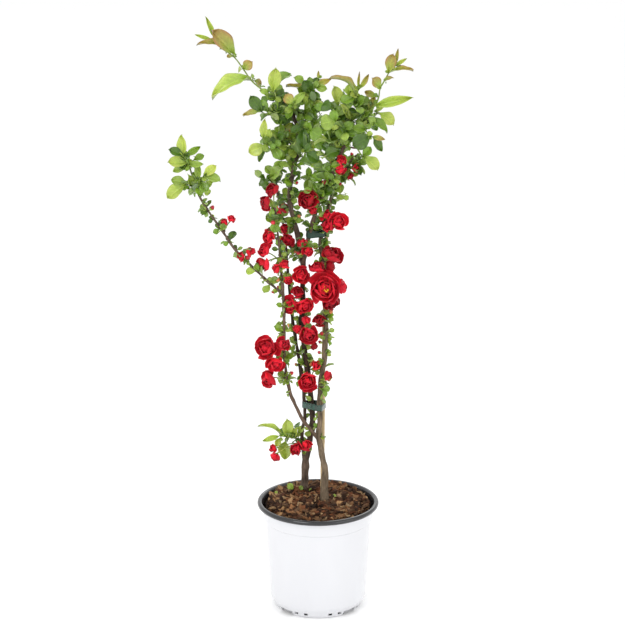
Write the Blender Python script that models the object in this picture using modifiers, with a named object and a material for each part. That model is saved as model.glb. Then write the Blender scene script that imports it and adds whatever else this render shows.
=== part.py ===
"""A flowering quince shrub in a nursery pot: two bare canes with their branches, a bamboo stake,
two plastic ties, leafy shoots and scarlet blooms in clusters.

Metres, +Z up. The origin is the centre of the pot's underside, +X is to the right and -Y is the
front. Routes and leaf tips are listed in millimetres.
"""
import math
import random

import bmesh
import bpy
from mathutils import Matrix, Vector
from mathutils.bvhtree import BVHTree

MM = 0.001
GAP = 0.0004
SEAT_REACH = 0.008
SEED = 43

POT_HEIGHT = 0.198
POT_RIM_RADIUS = 0.110
POT_TOP_RADIUS = 0.0995
POT_LOWER_RADIUS = 0.0872
POT_FOOT_RADIUS = 0.078
POT_CHAMFER_HEIGHT = 0.019
POT_SHOULDER_DROP = 0.032
POT_SHOULDER_STEP = 0.0008
POT_WALL = 0.0024
POT_STEPS = 36
RIM_HEIGHT = 0.0075
RIM_ROLL = 0.0045
NOTCH_WIDTH = 0.030
NOTCH_HEIGHT = 0.009
NOTCH_ANGLES = (45, 135, 225, 315)

MIX_EDGE_HEIGHT = 0.180
MIX_MOUND = 0.009
MIX_TILT = 0.0035
MIX_RINGS = (0.93, 0.76, 0.58, 0.4, 0.2)
MIX_STEPS = 18
MIX_FLOOR = 0.006
CHIP_HEIGHT = (0.002, 0.007)
HOLE_CLEARANCE = 0.0006

TUFT_BAND = 0.0032
LEAST_SPREAD = 0.5
ROLL_STEP = 0.5
TUFT_LENGTH = (0.013, 0.023)
BLADE_THICKNESS = 0.0013
CLEAR_FROM = 0.15
PETAL_THICKNESS = 0.0011
TIE_HEIGHT = 0.012
TIE_THICKNESS = 0.0009

UP = Vector((0, 0, 1))
FRONT = Vector((0, -1, 0))

# Each cane is a list of stems, and each stem a list of points (x, y, z, radius), all in millimetres.
LEFT_TRUNK = [
    (-25, 38, 122, 7.5), (-25, 38, 183, 7.5), (-25, 37, 223, 7.3), (-23, 35, 251, 6.8), (-19, 31, 285, 6.2),
    (-13, 26, 310, 5.6), (-9, 19, 346, 5.2), (-11, 15, 371, 5.2), (-15, 12, 413, 5.2), (-21, 10, 457, 5.2),
    (-25, 9, 489, 5.2), (-29, 8, 532, 5.1), (-28, 6, 573, 5.0), (-27, 5, 600, 5.0), (-28, 4, 642, 4.8),
    (-34, 2, 683, 4.6), (-44, 0, 723, 4.4), (-51, -2, 755, 4.2), (-49, -3, 782, 4.2), (-41, -2, 817, 4.2),
    (-34, 0, 848, 4.0), (-35, 2, 878, 3.6), (-42, 4, 902, 3.2), (-53, 5, 922, 2.8), (-66, 4, 931, 2.2),
]
LEFT_SIDE = [
    (-24, 34, 262, 3.6), (-29, 30, 301, 3.4), (-29, 27, 323, 3.3), (-24, 20, 344, 3.2), (-24, 11, 372, 3.2),
    (-27, 8, 414, 3.2), (-33, 9, 457, 3.1), (-39, 11, 492, 3.0), (-45, 10, 531, 3.0), (-49, 7, 572, 2.9),
    (-52, 4, 613, 2.8), (-55, 2, 656, 2.6), (-59, 4, 697, 2.4), (-65, 6, 732, 2.2), (-71, 6, 766, 2.0),
    (-73, 5, 793, 1.8), (-71, 5, 816, 1.6),
]
CROSSING = [
    (-27, 0, 636, 4.2), (-21, -6, 667, 4.1), (-16, -9, 693, 4.0), (-10, -10, 718, 4.0), (0, -10, 752, 3.9),
    (10, -9, 769, 3.8), (19, -8, 787, 3.8), (33, -4, 826, 3.6), (45, 0, 850, 3.4), (57, 3, 867, 3.1),
    (67, 5, 886, 2.7), (73, 6, 906, 2.2),
]
LEFT_TWIG = [(-33, 0, 846, 2.0), (-45, -1, 850, 1.9), (-57, -4, 866, 1.6)]
CROSSING_TWIG = [(45, 0, 850, 2.0), (55, 10, 846, 1.9), (68, 19, 842, 1.7)]
RIGHT_TRUNK = [
    (11, -19, 122, 7.0), (11, -18, 183, 7.0), (12, -17, 224, 6.9), (12, -15, 265, 6.0), (6, -12, 296, 5.4),
    (0, -9, 322, 5.2), (3, -6, 355, 4.6), (2, -5, 391, 4.4), (5, -6, 430, 4.4), (12, -5, 472, 4.4),
    (14, -2, 510, 4.4), (13, 0, 554, 4.3), (10, 1, 592, 4.2), (7, 1, 643, 4.1), (4, 0, 683, 4.0),
    (10, 3, 715, 3.8), (20, 8, 746, 3.6), (26, 12, 770, 3.3), (36, 14, 794, 3.0), (50, 17, 812, 2.6),
    (60, 21, 822, 2.2), (70, 25, 832, 1.9),
]
RIGHT_FORK = [
    (-1, -10, 320, 3.6), (-13, -14, 337, 3.4), (-25, -16, 353, 3.4), (-38, -16, 379, 3.2), (-49, -15, 403, 3.1),
    (-56, -13, 434, 3.0), (-60, -11, 475, 3.0), (-60, -9, 518, 2.9), (-60, -8, 551, 2.8), (-62, -9, 591, 2.8),
    (-65, -10, 628, 2.4), (-67, -11, 664, 2.2), (-71, -11, 704, 2.0), (-75, -9, 739, 1.7),
]
LONG_BRANCH = [
    (-61, -9, 585, 2.5), (-71, -10, 596, 2.4), (-88, -13, 611, 2.3), (-113, -16, 637, 2.2), (-134, -18, 659, 2.1),
    (-149, -19, 676, 2.1), (-161, -20, 696, 2.0), (-172, -21, 713, 2.0), (-187, -22, 735, 1.9),
    (-198, -22, 752, 1.8), (-207, -22, 770, 1.7), (-215, -21, 795, 1.5), (-219, -20, 808, 1.3),
]
STAKE = [
    (8, 12, 90, 3.6), (8, 11, 252, 3.6), (9, 10, 387, 3.6), (10, 11, 480, 3.6), (12, 12, 572, 3.6),
    (14, 13, 671, 3.6), (15, 15, 722, 3.6),
]

# Leafy shoots: name, stem that carries it, radius, how far its end lies back, points, and leaves
# as (point of the shoot, tip, width, form).
SHOOTS = [
    ("shoot_top_left", "left_trunk", 1.5, 50,
     [(-67, 4, 932), (-83, 2, 938), (-100, 0, 951), (-114, -2, 964), (-128, -3, 984), (-143, -3, 1004),
      (-159, -2, 1016), (-176, -2, 1033)],
     [(3, (-181, -22, 937), 30, "arched"), (3, (-98, 14, 955), 14, "flat"), (4, (-137, 10, 980), 12, "flat"),
      (4, (-113, -14, 998), 19, "flat"), (5, (-179, -12, 1052), 32, "flat"), (5, (-156, 14, 1004), 9, "flat"),
      (6, (-205, -18, 1029), 14, "arched"), (7, (-192, 0, 1073), 9, "flat"), (7, (-209, 10, 1041), 7, "flat")]),
    ("shoot_upright_pair", "left_trunk", 1.3, -30,
     [(-67, 4, 931), (-74, -2, 937), (-78, -4, 946)],
     [(2, (-72, -18, 988), 23, "flat"), (2, (-47, 18, 972), 26, "arched"), (1, (-55, -16, 945), 14, "flat")]),
    ("shoot_left_top", "left_trunk", 1.3, -45,
     [(-57, 2, 923), (-73, -4, 913), (-86, -8, 906), (-96, -10, 911)],
     [(3, (-116, -16, 940), 21, "flat"), (3, (-129, -4, 903), 12, "flat"), (2, (-100, 4, 929), 16, "flat"),
      (1, (-67, -16, 888), 14, "flat"), (1, (-60, -24, 914), 18, "flat")]),
    ("shoot_left_mid", "left_twig", 1.3, -45,
     [(-57, -4, 866), (-64, -6, 857), (-75, -8, 850), (-88, -10, 855), (-93, -12, 865)],
     [(4, (-92, -14, 900), 14, "flat"), (3, (-120, -12, 842), 23, "flat"), (3, (-102, -4, 823), 14, "flat"),
      (1, (-68, 6, 877), 21, "flat"), (2, (-66, -20, 830), 18, "flat")]),
    ("shoot_bronze_upright", "left_trunk", 1.2, -30,
     [(-44, 4, 907), (-44, -4, 917), (-44, -6, 924)],
     [(2, (-22, -10, 946), 14, "flat"), (2, (-57, -10, 942), 19, "flat"), (1, (-52, -22, 899), 14, "flat")]),
    ("shoot_middle_top", "left_trunk", 1.4, 30,
     [(-37, 2, 892), (-25, 0, 908), (-13, -3, 925), (-10, -4, 941), (-7, -4, 953), (-1, -4, 967)],
     [(3, (-26, -12, 968), 21, "flat"), (3, (-55, 6, 956), 9, "flat"), (4, (16, -14, 951), 14, "flat"),
      (4, (22, 0, 965), 12, "flat"), (5, (0, -4, 982), 5, "flat"), (2, (-35, 14, 926), 18, "flat"),
      (2, (10, -16, 921), 16, "flat"), (1, (-4, -26, 909), 26, "flat")]),
    ("shoot_centre", "left_trunk", 1.3, -40,
     [(-36, 2, 878), (-26, -10, 885), (-16, -16, 883)],
     [(2, (6, -24, 870), 26, "flat"), (2, (-13, -36, 900), 14, "flat"), (1, (-48, -22, 877), 16, "flat"),
      (1, (-26, -24, 851), 25, "flat")]),
    ("shoot_centre_right", "crossing", 1.3, -30,
     [(55, 0, 861), (44, -9, 881), (30, -14, 896)],
     [(2, (3, -22, 893), 28, "flat"), (2, (25, -24, 918), 16, "flat"), (1, (34, -20, 868), 19, "flat"),
      (1, (59, -20, 896), 16, "flat")]),
    ("shoot_light_upright", "crossing", 1.3, 25,
     [(63, 4, 881), (51, -4, 896), (39, -8, 907), (32, -8, 921)],
     [(3, (28, -10, 956), 21, "flat"), (2, (13, -2, 927), 16, "flat"), (1, (37, -20, 928), 14, "flat")]),
    ("shoot_arched_top", "crossing", 1.3, -30,
     [(70, 6, 898), (66, 4, 916), (63, 2, 933), (69, 2, 947)],
     [(2, (22, -6, 972), 16, "arched"), (2, (39, -16, 930), 16, "flat"), (3, (71, 4, 979), 5, "flat"),
      (3, (86, 16, 972), 9, "flat"), (1, (83, -14, 939), 18, "flat")]),
    ("shoot_right_top", "crossing", 1.5, -25,
     [(73, 6, 905), (85, 4, 910), (96, 3, 919), (103, 2, 933), (106, 2, 950), (113, 2, 963), (120, 2, 976),
      (130, 1, 988)],
     [(6, (128, -6, 1012), 19, "flat"), (7, (136, 2, 1019), 7, "flat"), (7, (151, 0, 1002), 7, "flat"),
      (6, (162, 8, 977), 9, "arched"), (4, (91, -8, 970), 19, "flat"), (5, (127, -10, 971), 9, "flat"),
      (3, (80, 24, 941), 12, "flat"), (2, (162, -14, 937), 18, "flat"), (1, (97, 14, 935), 12, "flat")]),
    ("shoot_right_round", "crossing", 1.3, 35,
     [(75, 4, 896), (89, -2, 898), (101, -4, 907)],
     [(2, (130, -12, 891), 26, "flat"), (2, (111, 6, 922), 14, "flat"), (1, (119, -16, 879), 18, "flat"),
      (1, (100, 16, 877), 14, "flat")]),
    ("shoot_right_mid", "crossing", 1.3, -30,
     [(67, 6, 882), (79, -4, 879), (91, -8, 869)],
     [(2, (58, -18, 854), 28, "flat"), (2, (115, -8, 863), 9, "flat"), (2, (108, 0, 841), 16, "flat"),
      (1, (54, -26, 887), 16, "flat")]),
    ("shoot_right_low", "crossing_twig", 1.3, 35,
     [(68, 19, 842), (76, 10, 830)],
     [(1, (103, 2, 807), 26, "flat"), (1, (91, 6, 847), 16, "flat")]),
    ("shoot_centre_low", "left_trunk", 1.2, -30,
     [(-33, 0, 850), (-23, -8, 841)],
     [(1, (1, -14, 827), 23, "flat"), (1, (-13, -16, 857), 12, "flat")]),
    ("shoot_left_low", "left_side", 1.2, 0,
     [(-72, 6, 810), (-77, -3, 798), (-82, -7, 790)],
     [(2, (-102, -12, 784), 18, "flat"), (1, (-92, -2, 815), 16, "flat"), (1, (-59, -44, 822), 21, "flat"),
      (2, (-94, 8, 772), 16, "flat")]),
    ("shoot_branch_tip", "long_branch", 1.4, -20,
     [(-219, -20, 810), (-223, -19, 822), (-231, -18, 836)],
     [(2, (-233, -16, 874), 18, "flat"), (2, (-257, -26, 849), 16, "flat"), (1, (-258, -28, 828), 21, "flat"),
      (1, (-195, -28, 824), 12, "flat"), (2, (-205, -2, 849), 12, "flat"), (1, (-248, -6, 806), 16, "flat")]),
    ("shoot_branch_left", "long_branch", 1.3, 20,
     [(-210, -22, 779), (-219, -28, 786), (-224, -31, 790)],
     [(2, (-260, -38, 767), 25, "flat"), (2, (-253, -30, 796), 18, "flat"), (1, (-223, -50, 812), 14, "flat")]),
    ("shoot_branch_right", "long_branch", 1.3, -25,
     [(-209, -22, 776), (-204, -25, 792), (-198, -27, 801)],
     [(2, (-175, -30, 822), 16, "flat"), (2, (-168, -34, 796), 19, "flat"), (1, (-190, -38, 777), 18, "flat"),
      (1, (-208, -6, 822), 12, "flat")]),
    ("shoot_lower_left", "left_side", 1.5, 10,
     [(-29, 30, 304), (-43, 25, 308), (-56, 20, 312), (-67, 16, 315)],
     [(2, (-56, 10, 351), 21, "flat"), (3, (-108, 8, 337), 11, "arched"), (3, (-101, 14, 306), 11, "flat"),
      (2, (-58, 44, 266), 25, "flat"), (1, (-36, 14, 333), 12, "flat"), (3, (-76, 22, 292), 12, "flat")]),
]


# Each stem's points, the height from which it leans back, and how far it leans for each millimetre.
STEM_LAYOUT = {
    "left_trunk": (LEFT_TRUNK, 760, 0.24), "left_side": (LEFT_SIDE, 560, 0.14),
    "crossing": (CROSSING, 700, -0.22), "left_twig": (LEFT_TWIG, 760, 0.24),
    "crossing_twig": (CROSSING_TWIG, 700, -0.22), "right_trunk": (RIGHT_TRUNK, 715, 0.15),
    "right_fork": (RIGHT_FORK, 450, -0.10), "long_branch": (LONG_BRANCH, 481, -0.13),
    "stake": (STAKE, 0, 0.0),
}
# The layout was measured in a view from here, so a point is set back along its line of sight.
VIEW_POINT = Vector((-10, -3400, 1520))


def set_back(point, depth):
    """A point in millimetres, moved back by a depth so that it looks the same from the front."""
    point = Vector(point[:3])
    reach = point.y - VIEW_POINT.y
    return VIEW_POINT + (point - VIEW_POINT) * ((reach + depth) / reach)


def lean(stem_name, height):
    """How far a stem lies back at a height, in millimetres."""
    _, start, rate = STEM_LAYOUT[stem_name]
    return max(0.0, height - start) * rate


STEMS = {name: [(*set_back(p, lean(name, p[2])), p[3]) for p in layout[0]]
         for name, layout in STEM_LAYOUT.items()}
CANES = {
    "cane_left": ("left_trunk", "left_side", "crossing", "left_twig", "crossing_twig"),
    "cane_right": ("right_trunk", "right_fork", "long_branch"),
}
# Leaf tufts on each stem: the length at which they start, and the pitch between them, in metres.
TUFT_ROWS = {
    "left_trunk": (0.34, 0.050), "left_side": (0.21, 0.046), "crossing": (0.04, 0.042),
    "right_trunk": (0.33, 0.050), "right_fork": (0.116, 0.050), "long_branch": (0.03, 0.036),
}
TUFT_LEAVES = 3
TIES = {
    "tie_lower": (376, ("left_trunk", "left_side", "right_trunk", "stake")),
    "tie_upper": (694, ("crossing", "right_trunk", "stake")),
}
TIE_STEPS = 20

# Bloom clusters: name, stem that carries it, root on the stem, and blooms as (x, y, z, size, turn to
# the right, turn upwards, form), in millimetres and degrees.
CLUSTERS = [
    ("bloom_big", "right_trunk", (12, 2, 603),
     [(11, -34, 604, 58, 6, 14, "double"), (-2, -20, 636, 25, -30, 70, "five"),
      (39, -14, 602, 25, 75, 20, "five"), (22, -16, 575, 26, 30, -35, "half")]),
    ("bloom_upper_side", "right_trunk", (7, 1, 643),
     [(24, -12, 657, 35, 40, 60, "half"), (23, -8, 638, 21, 70, 10, "bud")]),
    ("bloom_right_high", "right_trunk", (14, 3, 711),
     [(33, -10, 718, 35, 25, 20, "half"), (14, -14, 731, 19, 0, 30, "five"), (15, -16, 712, 19, -10, -10, "bud")]),
    ("bloom_dark_high", "crossing", (-10, -10, 743),
     [(-18, -26, 759, 35, -20, 20, "half"), (-9, -26, 741, 14, 20, -10, "bud")]),
    ("bloom_left_high", "right_fork", (-73, -8, 757),
     [(-79, -16, 773, 25, -30, 40, "five"), (-89, -14, 753, 23, -60, -5, "five")]),
    ("bloom_left_pair", "left_side", (-61, 4, 715),
     [(-58, -12, 742, 19, 20, 40, "five"), (-73, -26, 738, 21, -30, -10, "five")]),
    ("bloom_mid_high", "left_side", (-56, 3, 682),
     [(-56, -14, 706, 19, 10, 30, "five"), (-53, -18, 688, 23, 10, -5, "half")]),
    ("bloom_far_left_a", "right_fork", (-67, -10, 689),
     [(-84, -16, 693, 25, -50, 15, "five")]),
    ("bloom_centre_small", "crossing", (-21, -6, 667),
     [(-29, -14, 681, 16, -20, 40, "bud"), (-18, -23, 669, 18, 20, 0, "five")]),
    ("bloom_far_left_b", "right_fork", (-64, -10, 653),
     [(-92, -20, 668, 23, -45, 35, "five"), (-93, -18, 646, 25, -60, -30, "half")]),
    ("bloom_left_mid", "right_fork", (-63, -9, 628),
     [(-75, -24, 638, 16, -35, 0, "bud"), (-59, -26, 648, 16, 0, 40, "bud"), (-53, -24, 618, 16, 20, -15, "five")]),
    ("bloom_centre_tall", "left_trunk", (-28, 5, 613),
     [(-30, -18, 624, 28, 0, 15, "half")]),
    ("bloom_centre_trio", "left_trunk", (-29, 6, 569),
     [(-35, -14, 590, 21, -10, 40, "five"), (-49, -20, 571, 26, -40, 0, "half"), (-24, -26, 572, 32, 15, -5, "half")]),
    ("bloom_lower_centre", "left_trunk", (-28, 8, 517),
     [(-17, -24, 519, 37, 5, -5, "half"), (-38, -14, 526, 16, -40, 20, "bud"), (-20, -18, 544, 16, 10, 60, "bud"),
      (-6, -16, 493, 14, 40, -40, "bud")]),
    ("bloom_right_dark", "right_trunk", (14, 0, 534),
     [(2, -17, 540, 21, 10, 30, "five")]),
    ("bloom_left_large", "right_fork", (-60, -11, 487),
     [(-91, -30, 494, 40, -25, 15, "double"), (-62, -30, 502, 23, 15, 20, "five"), (-75, -30, 467, 32, 0, -15, "half")]),
    ("bloom_left_side", "right_fork", (-56, -13, 434),
     [(-86, -22, 435, 33, -45, -15, "half")]),
    ("bloom_low_centre", "left_trunk", (-15, 12, 415),
     [(-19, -18, 430, 35, 0, 5, "half"), (-4, -14, 457, 18, 20, 45, "five")]),
    ("bloom_low_right", "right_trunk", (5, -6, 430),
     [(18, -18, 439, 16, 50, 10, "bud")]),
    ("bloom_bottom_left", "left_side", (-62, 20, 295),
     [(-80, 8, 294, 16, -50, 20, "five"), (-78, 10, 276, 16, -30, -30, "bud")]),
    ("bloom_bottom_right", "left_trunk", (-21, 31, 279),
     [(-38, 10, 292, 23, -15, 10, "five"), (-20, 10, 300, 18, 20, 30, "bud")]),
    ("bloom_branch_low", "long_branch", (-121, -17, 646),
     [(-116, -22, 670, 16, 20, 60, "bud"), (-132, -30, 659, 16, -40, 20, "five")]),
    ("bloom_branch_high", "long_branch", (-164, -20, 702),
     [(-163, -24, 722, 12, -10, 60, "bud"), (-150, -28, 727, 14, 20, 40, "five")]),
    ("bloom_upper_right", "crossing", (34, -4, 823),
     [(40, -20, 828, 16, 10, 40, "five"), (39, -20, 811, 16, 15, -20, "bud")]),
    ("bloom_far_right", "right_trunk", (48, 16, 810),
     [(64, 6, 809, 16, 50, 10, "five"), (56, 6, 794, 11, 30, -40, "bud")]),
]


def mm(point):
    """A point listed in millimetres, as a vector in metres."""
    return Vector(point[:3]) * MM


def clear_scene():
    for item in list(bpy.data.objects):
        bpy.data.objects.remove(item)


def collection(name):
    group = bpy.data.collections.new(name)
    bpy.context.scene.collection.children.link(group)
    return group


def material(name, colour, roughness):
    """A Principled material in one plain colour."""
    finish = bpy.data.materials.new(name)
    finish.use_nodes = True
    shader = finish.node_tree.nodes["Principled BSDF"]
    shader.inputs["Base Color"].default_value = (*colour, 1)
    shader.inputs["Roughness"].default_value = roughness
    return finish


def add_object(name, mesh, group, finishes):
    item = bpy.data.objects.new(name, mesh)
    group.objects.link(item)
    item.data.materials.clear()
    for finish in finishes:
        item.data.materials.append(finish)
    return item


def mesh_from(bm, name):
    mesh = bpy.data.meshes.new(name)
    bm.to_mesh(mesh)
    bm.free()
    return mesh


def baked(item):
    """The evaluated mesh of an object, welded, in world space. The object is removed."""
    bpy.context.view_layer.update()
    evaluated = item.evaluated_get(bpy.context.evaluated_depsgraph_get())
    mesh = bpy.data.meshes.new_from_object(evaluated)
    mesh.transform(item.matrix_world)
    bm = bmesh.new()
    bm.from_mesh(mesh)
    bmesh.ops.remove_doubles(bm, verts=bm.verts, dist=1e-6)
    bm.to_mesh(mesh)
    bm.free()
    bpy.data.objects.remove(item)
    return mesh


def tube(points, radii, side_resolution=0):
    """A closed tube mesh along a line of points, from a POLY curve with a radius at each point."""
    curve = bpy.data.curves.new("tube", "CURVE")
    curve.dimensions = "3D"
    curve.bevel_depth = 1.0
    curve.bevel_resolution = side_resolution
    curve.use_fill_caps = True
    spline = curve.splines.new("POLY")
    spline.points.add(len(points) - 1)
    for knot, point, radius in zip(spline.points, points, radii):
        knot.co = (*point, 1)
        knot.radius = radius
    item = bpy.data.objects.new("tube", curve)
    bpy.context.scene.collection.objects.link(item)
    return baked(item)


def turned(name, profile, steps):
    """A solid of revolution about +Z. The profile runs down its outer side."""
    mesh = bpy.data.meshes.new(name)
    mesh.from_pydata([(r, 0, z) for r, z in profile], [(i, i + 1) for i in range(len(profile) - 1)], [])
    item = bpy.data.objects.new(name, mesh)
    bpy.context.scene.collection.objects.link(item)
    screw = item.modifiers.new("turn", "SCREW")
    screw.steps = steps
    screw.render_steps = steps
    screw.use_merge_vertices = True
    screw.merge_threshold = 0.00001
    return baked(item)


def fused(name, meshes, group, finishes):
    """One object from several closed meshes, joined by a Boolean union on a collection."""
    base = add_object(name, meshes[0], group, [])
    if len(meshes) > 1:
        repeats = collection(name + "_repeats")
        for mesh in meshes[1:]:
            repeats.objects.link(bpy.data.objects.new("repeat", mesh))
        join = base.modifiers.new("join", "BOOLEAN")
        join.operation = "UNION"
        join.operand_type = "COLLECTION"
        join.collection = repeats
        bpy.context.view_layer.update()
        evaluated = base.evaluated_get(bpy.context.evaluated_depsgraph_get())
        base.data = bpy.data.meshes.new_from_object(evaluated)
        base.modifiers.clear()
        for item in list(repeats.objects):
            bpy.data.objects.remove(item)
        bpy.data.collections.remove(repeats)
    base.data.materials.clear()
    for finish in finishes:
        base.data.materials.append(finish)
    base.data.name = name
    return base


def tree_of(mesh):
    return BVHTree.FromPolygons([v.co for v in mesh.vertices], [p.vertices for p in mesh.polygons])


class Filled:
    """The surfaces that are already in place, so that the next leaf can be kept clear of them."""

    def __init__(self):
        self.trees = []

    def add(self, mesh):
        self.trees.append(tree_of(mesh))

    def add_shape(self, corners, faces):
        self.trees.append(BVHTree.FromPolygons(corners, faces))

    def hits(self, corners, faces):
        shape = BVHTree.FromPolygons(corners, faces)
        return any(tree.overlap(shape) for tree in self.trees)


def seat_on(tree, root, aim):
    """The place just off a stem's surface, on the side that looks at the aim, and the normal there."""
    place, normal, _, _ = tree.find_nearest(root + (aim - root).normalized() * SEAT_REACH)
    return place + normal * GAP, normal


def blade_frame(base, tip, facing, roll=0.0):
    """The axes of a blade: along it, across it, and up out of its upper face."""
    along = (tip - base).normalized()
    upper = (facing - along * facing.dot(along)).normalized()
    upper = Matrix.Rotation(roll, 3, along) @ upper
    return along, along.cross(upper), upper


def blade_sections(base, tip, width, upper, across, stations, arch=0.08, cup=0.18,
                   thickness=BLADE_THICKNESS):
    """Four-cornered cross sections of a blade. Each station is (part of the length, part of the width)."""
    sections = []
    for part, share in stations:
        half = max(width * share / 2, thickness * 0.55)
        rise = arch * (tip - base).length * 4 * part * (1 - part)
        centre = base.lerp(tip, part) + upper * rise
        lift = upper * (half * cup)
        sections.append([centre - across * half + lift, centre + upper * thickness / 2,
                         centre + across * half + lift, centre - upper * thickness / 2])
    return sections


LEAF_STATIONS = ((0.16, 0.0), (0.48, 0.98), (0.78, 0.76))
TUFT_STATIONS = ((0.55, 1.0),)
PETAL_STATIONS = ((0.5, 0.95), (0.86, 0.85))
SMALL_PETAL_STATIONS = ((0.62, 1.0),)

# Each form of bloom: bands of petals, the receptacle's radius, and its whorls as
# (length, tilt, width, stations, twist). Radius, length and width are parts of the bloom's size.
FORMS = {
    "double": {"bands": 3, "core": 0.10, "whorls": [
        (0.40, 6, 0.38, PETAL_STATIONS, 0), (0.30, 34, 0.27, PETAL_STATIONS, 36),
        (0.19, 60, 0.17, SMALL_PETAL_STATIONS, 10)]},
    "half": {"bands": 2, "core": 0.12, "whorls": [
        (0.37, 10, 0.37, PETAL_STATIONS, 0), (0.26, 50, 0.24, SMALL_PETAL_STATIONS, 34)]},
    "five": {"bands": 1, "core": 0.15, "whorls": [(0.36, 28, 0.38, SMALL_PETAL_STATIONS, 0)]},
}


def split_alike(bm, middle, edge):
    """Cuts the face that holds both corners between them, so both faces of a blade bend alike."""
    for face in middle.link_faces:
        if edge in face.verts and len(face.verts) == 4:
            bmesh.utils.face_split(face, middle, edge)
            return


def nearest_turn(face, section):
    """How well a section matches the face it grows from, and how far its corners are turned."""
    corners = [loop.vert.co for loop in face.loops]
    return min((sum((corners[i] - section[(i + k) % 4]).length for i in range(4)), k) for k in range(4))


def raise_blade(bm, face, sections, tip):
    """Raises a thin blade from a four-sided face: extruded section by section and closed at the tip."""
    below = None
    for section in sections:
        face = bmesh.ops.extrude_discrete_faces(bm, faces=[face])["faces"][0]
        corners = [loop.vert for loop in face.loops]
        _, best = nearest_turn(face, section)
        ring = {}
        for i, corner in enumerate(corners):
            ring[(i + best) % 4] = corner
            corner.co = section[(i + best) % 4]
        if below:
            for middle in (1, 3):
                for edge in (0, 2):
                    split_alike(bm, below[middle], ring[edge])
        below = ring
    point = bmesh.ops.poke(bm, faces=[face])["verts"][0]
    point.co = tip


def blade_shape(sections, tip, grow=0.0006):
    """A closed outline of a blade, a little larger than it, for keeping others clear of it."""
    corners = []
    for section in sections:
        centre = sum(section, Vector()) / 4
        corners += [c + (c - centre).normalized() * grow for c in section]
    along = (tip - sum(sections[-1], Vector()) / 4).normalized()
    corners.append(tip + along * grow)
    last = len(corners) - 1
    faces = [(3, 2, 1, 0)]
    for ring in range(len(sections) - 1):
        for i in range(4):
            a, b = ring * 4 + i, ring * 4 + (i + 1) % 4
            faces.append((a, b, b + 4, a + 4))
    faces += [(last - 4 + i, last - 4 + (i + 1) % 4, last) for i in range(4)]
    return corners, faces


def face_towards(bm, place, direction, reach, used):
    """The free four-sided face near a place on a stem that looks most in a direction."""
    near = [f for f in bm.faces
            if len(f.verts) == 4 and f.index not in used
            and (f.calc_center_median() - place).length < reach]
    best = max(near, key=lambda f: f.normal.dot(direction), default=None)
    return best if best and best.normal.dot(direction) > 0.1 else None


def pot_profile():
    """The pot's section: up the inside, over the rolled rim and down the outside."""
    inside = POT_TOP_RADIUS - POT_WALL
    return [
        (0, POT_WALL), (POT_FOOT_RADIUS - POT_WALL, POT_WALL),
        (POT_LOWER_RADIUS - POT_WALL, POT_CHAMFER_HEIGHT + POT_WALL),
        (inside, POT_HEIGHT - RIM_HEIGHT),
        (POT_RIM_RADIUS - 2 * RIM_ROLL, POT_HEIGHT - RIM_ROLL * 0.3),
        (POT_RIM_RADIUS - RIM_ROLL, POT_HEIGHT),
        (POT_RIM_RADIUS - RIM_ROLL * 0.3, POT_HEIGHT - RIM_ROLL * 0.35),
        (POT_RIM_RADIUS, POT_HEIGHT - RIM_ROLL),
        (POT_RIM_RADIUS - RIM_ROLL * 0.3, POT_HEIGHT - RIM_HEIGHT),
        (POT_TOP_RADIUS + POT_SHOULDER_STEP, POT_HEIGHT - RIM_HEIGHT),
        (POT_TOP_RADIUS - 0.0015 + POT_SHOULDER_STEP, POT_HEIGHT - POT_SHOULDER_DROP),
        (POT_TOP_RADIUS - 0.0028, POT_HEIGHT - POT_SHOULDER_DROP - 0.003),
        (POT_LOWER_RADIUS, POT_CHAMFER_HEIGHT), (POT_FOOT_RADIUS, 0.0), (0, 0.0),
    ]


def inner_radius(height):
    """The pot's inside radius at a height on the straight part of its wall."""
    low = POT_CHAMFER_HEIGHT + POT_WALL
    part = (height - low) / (POT_HEIGHT - RIM_HEIGHT - low)
    return (POT_LOWER_RADIUS + (POT_TOP_RADIUS - POT_LOWER_RADIUS) * part) - POT_WALL


def cutter(mesh, group):
    item = add_object("cutter", mesh, group, [])
    item.hide_render = True
    item.display_type = "WIRE"
    return item


def cut(item, tool):
    bite = item.modifiers.new("cut", "BOOLEAN")
    bite.operation = "DIFFERENCE"
    bite.object = tool


def make_pot(group, cutters, finish):
    """A thin nursery pot with a rolled rim, a chamfered foot and four drainage notches."""
    pot = add_object("nursery_pot", turned("nursery_pot", pot_profile(), POT_STEPS), group, [finish])
    for angle in NOTCH_ANGLES:
        bm = bmesh.new()
        bmesh.ops.create_cube(bm, size=1)
        turn = Matrix.Rotation(math.radians(angle), 4, "Z")
        place = Matrix.Translation((POT_LOWER_RADIUS, 0, NOTCH_HEIGHT / 2 - 0.005))
        size = Matrix.Diagonal((0.030, NOTCH_WIDTH, NOTCH_HEIGHT + 0.010, 1))
        bm.transform(turn @ place @ size)
        cut(pot, cutter(mesh_from(bm, "notch"), cutters))
    pot.data.shade_smooth()
    pot.data.set_sharp_from_angle(angle=math.radians(30))
    return pot


def mix_height(radius, angle):
    """The height of the potting mix: mounded, and a little higher at the back."""
    part = radius / inner_radius(MIX_EDGE_HEIGHT)
    return MIX_EDGE_HEIGHT + MIX_MOUND * (1 - part * part) + MIX_TILT * part * math.sin(angle)


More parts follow.
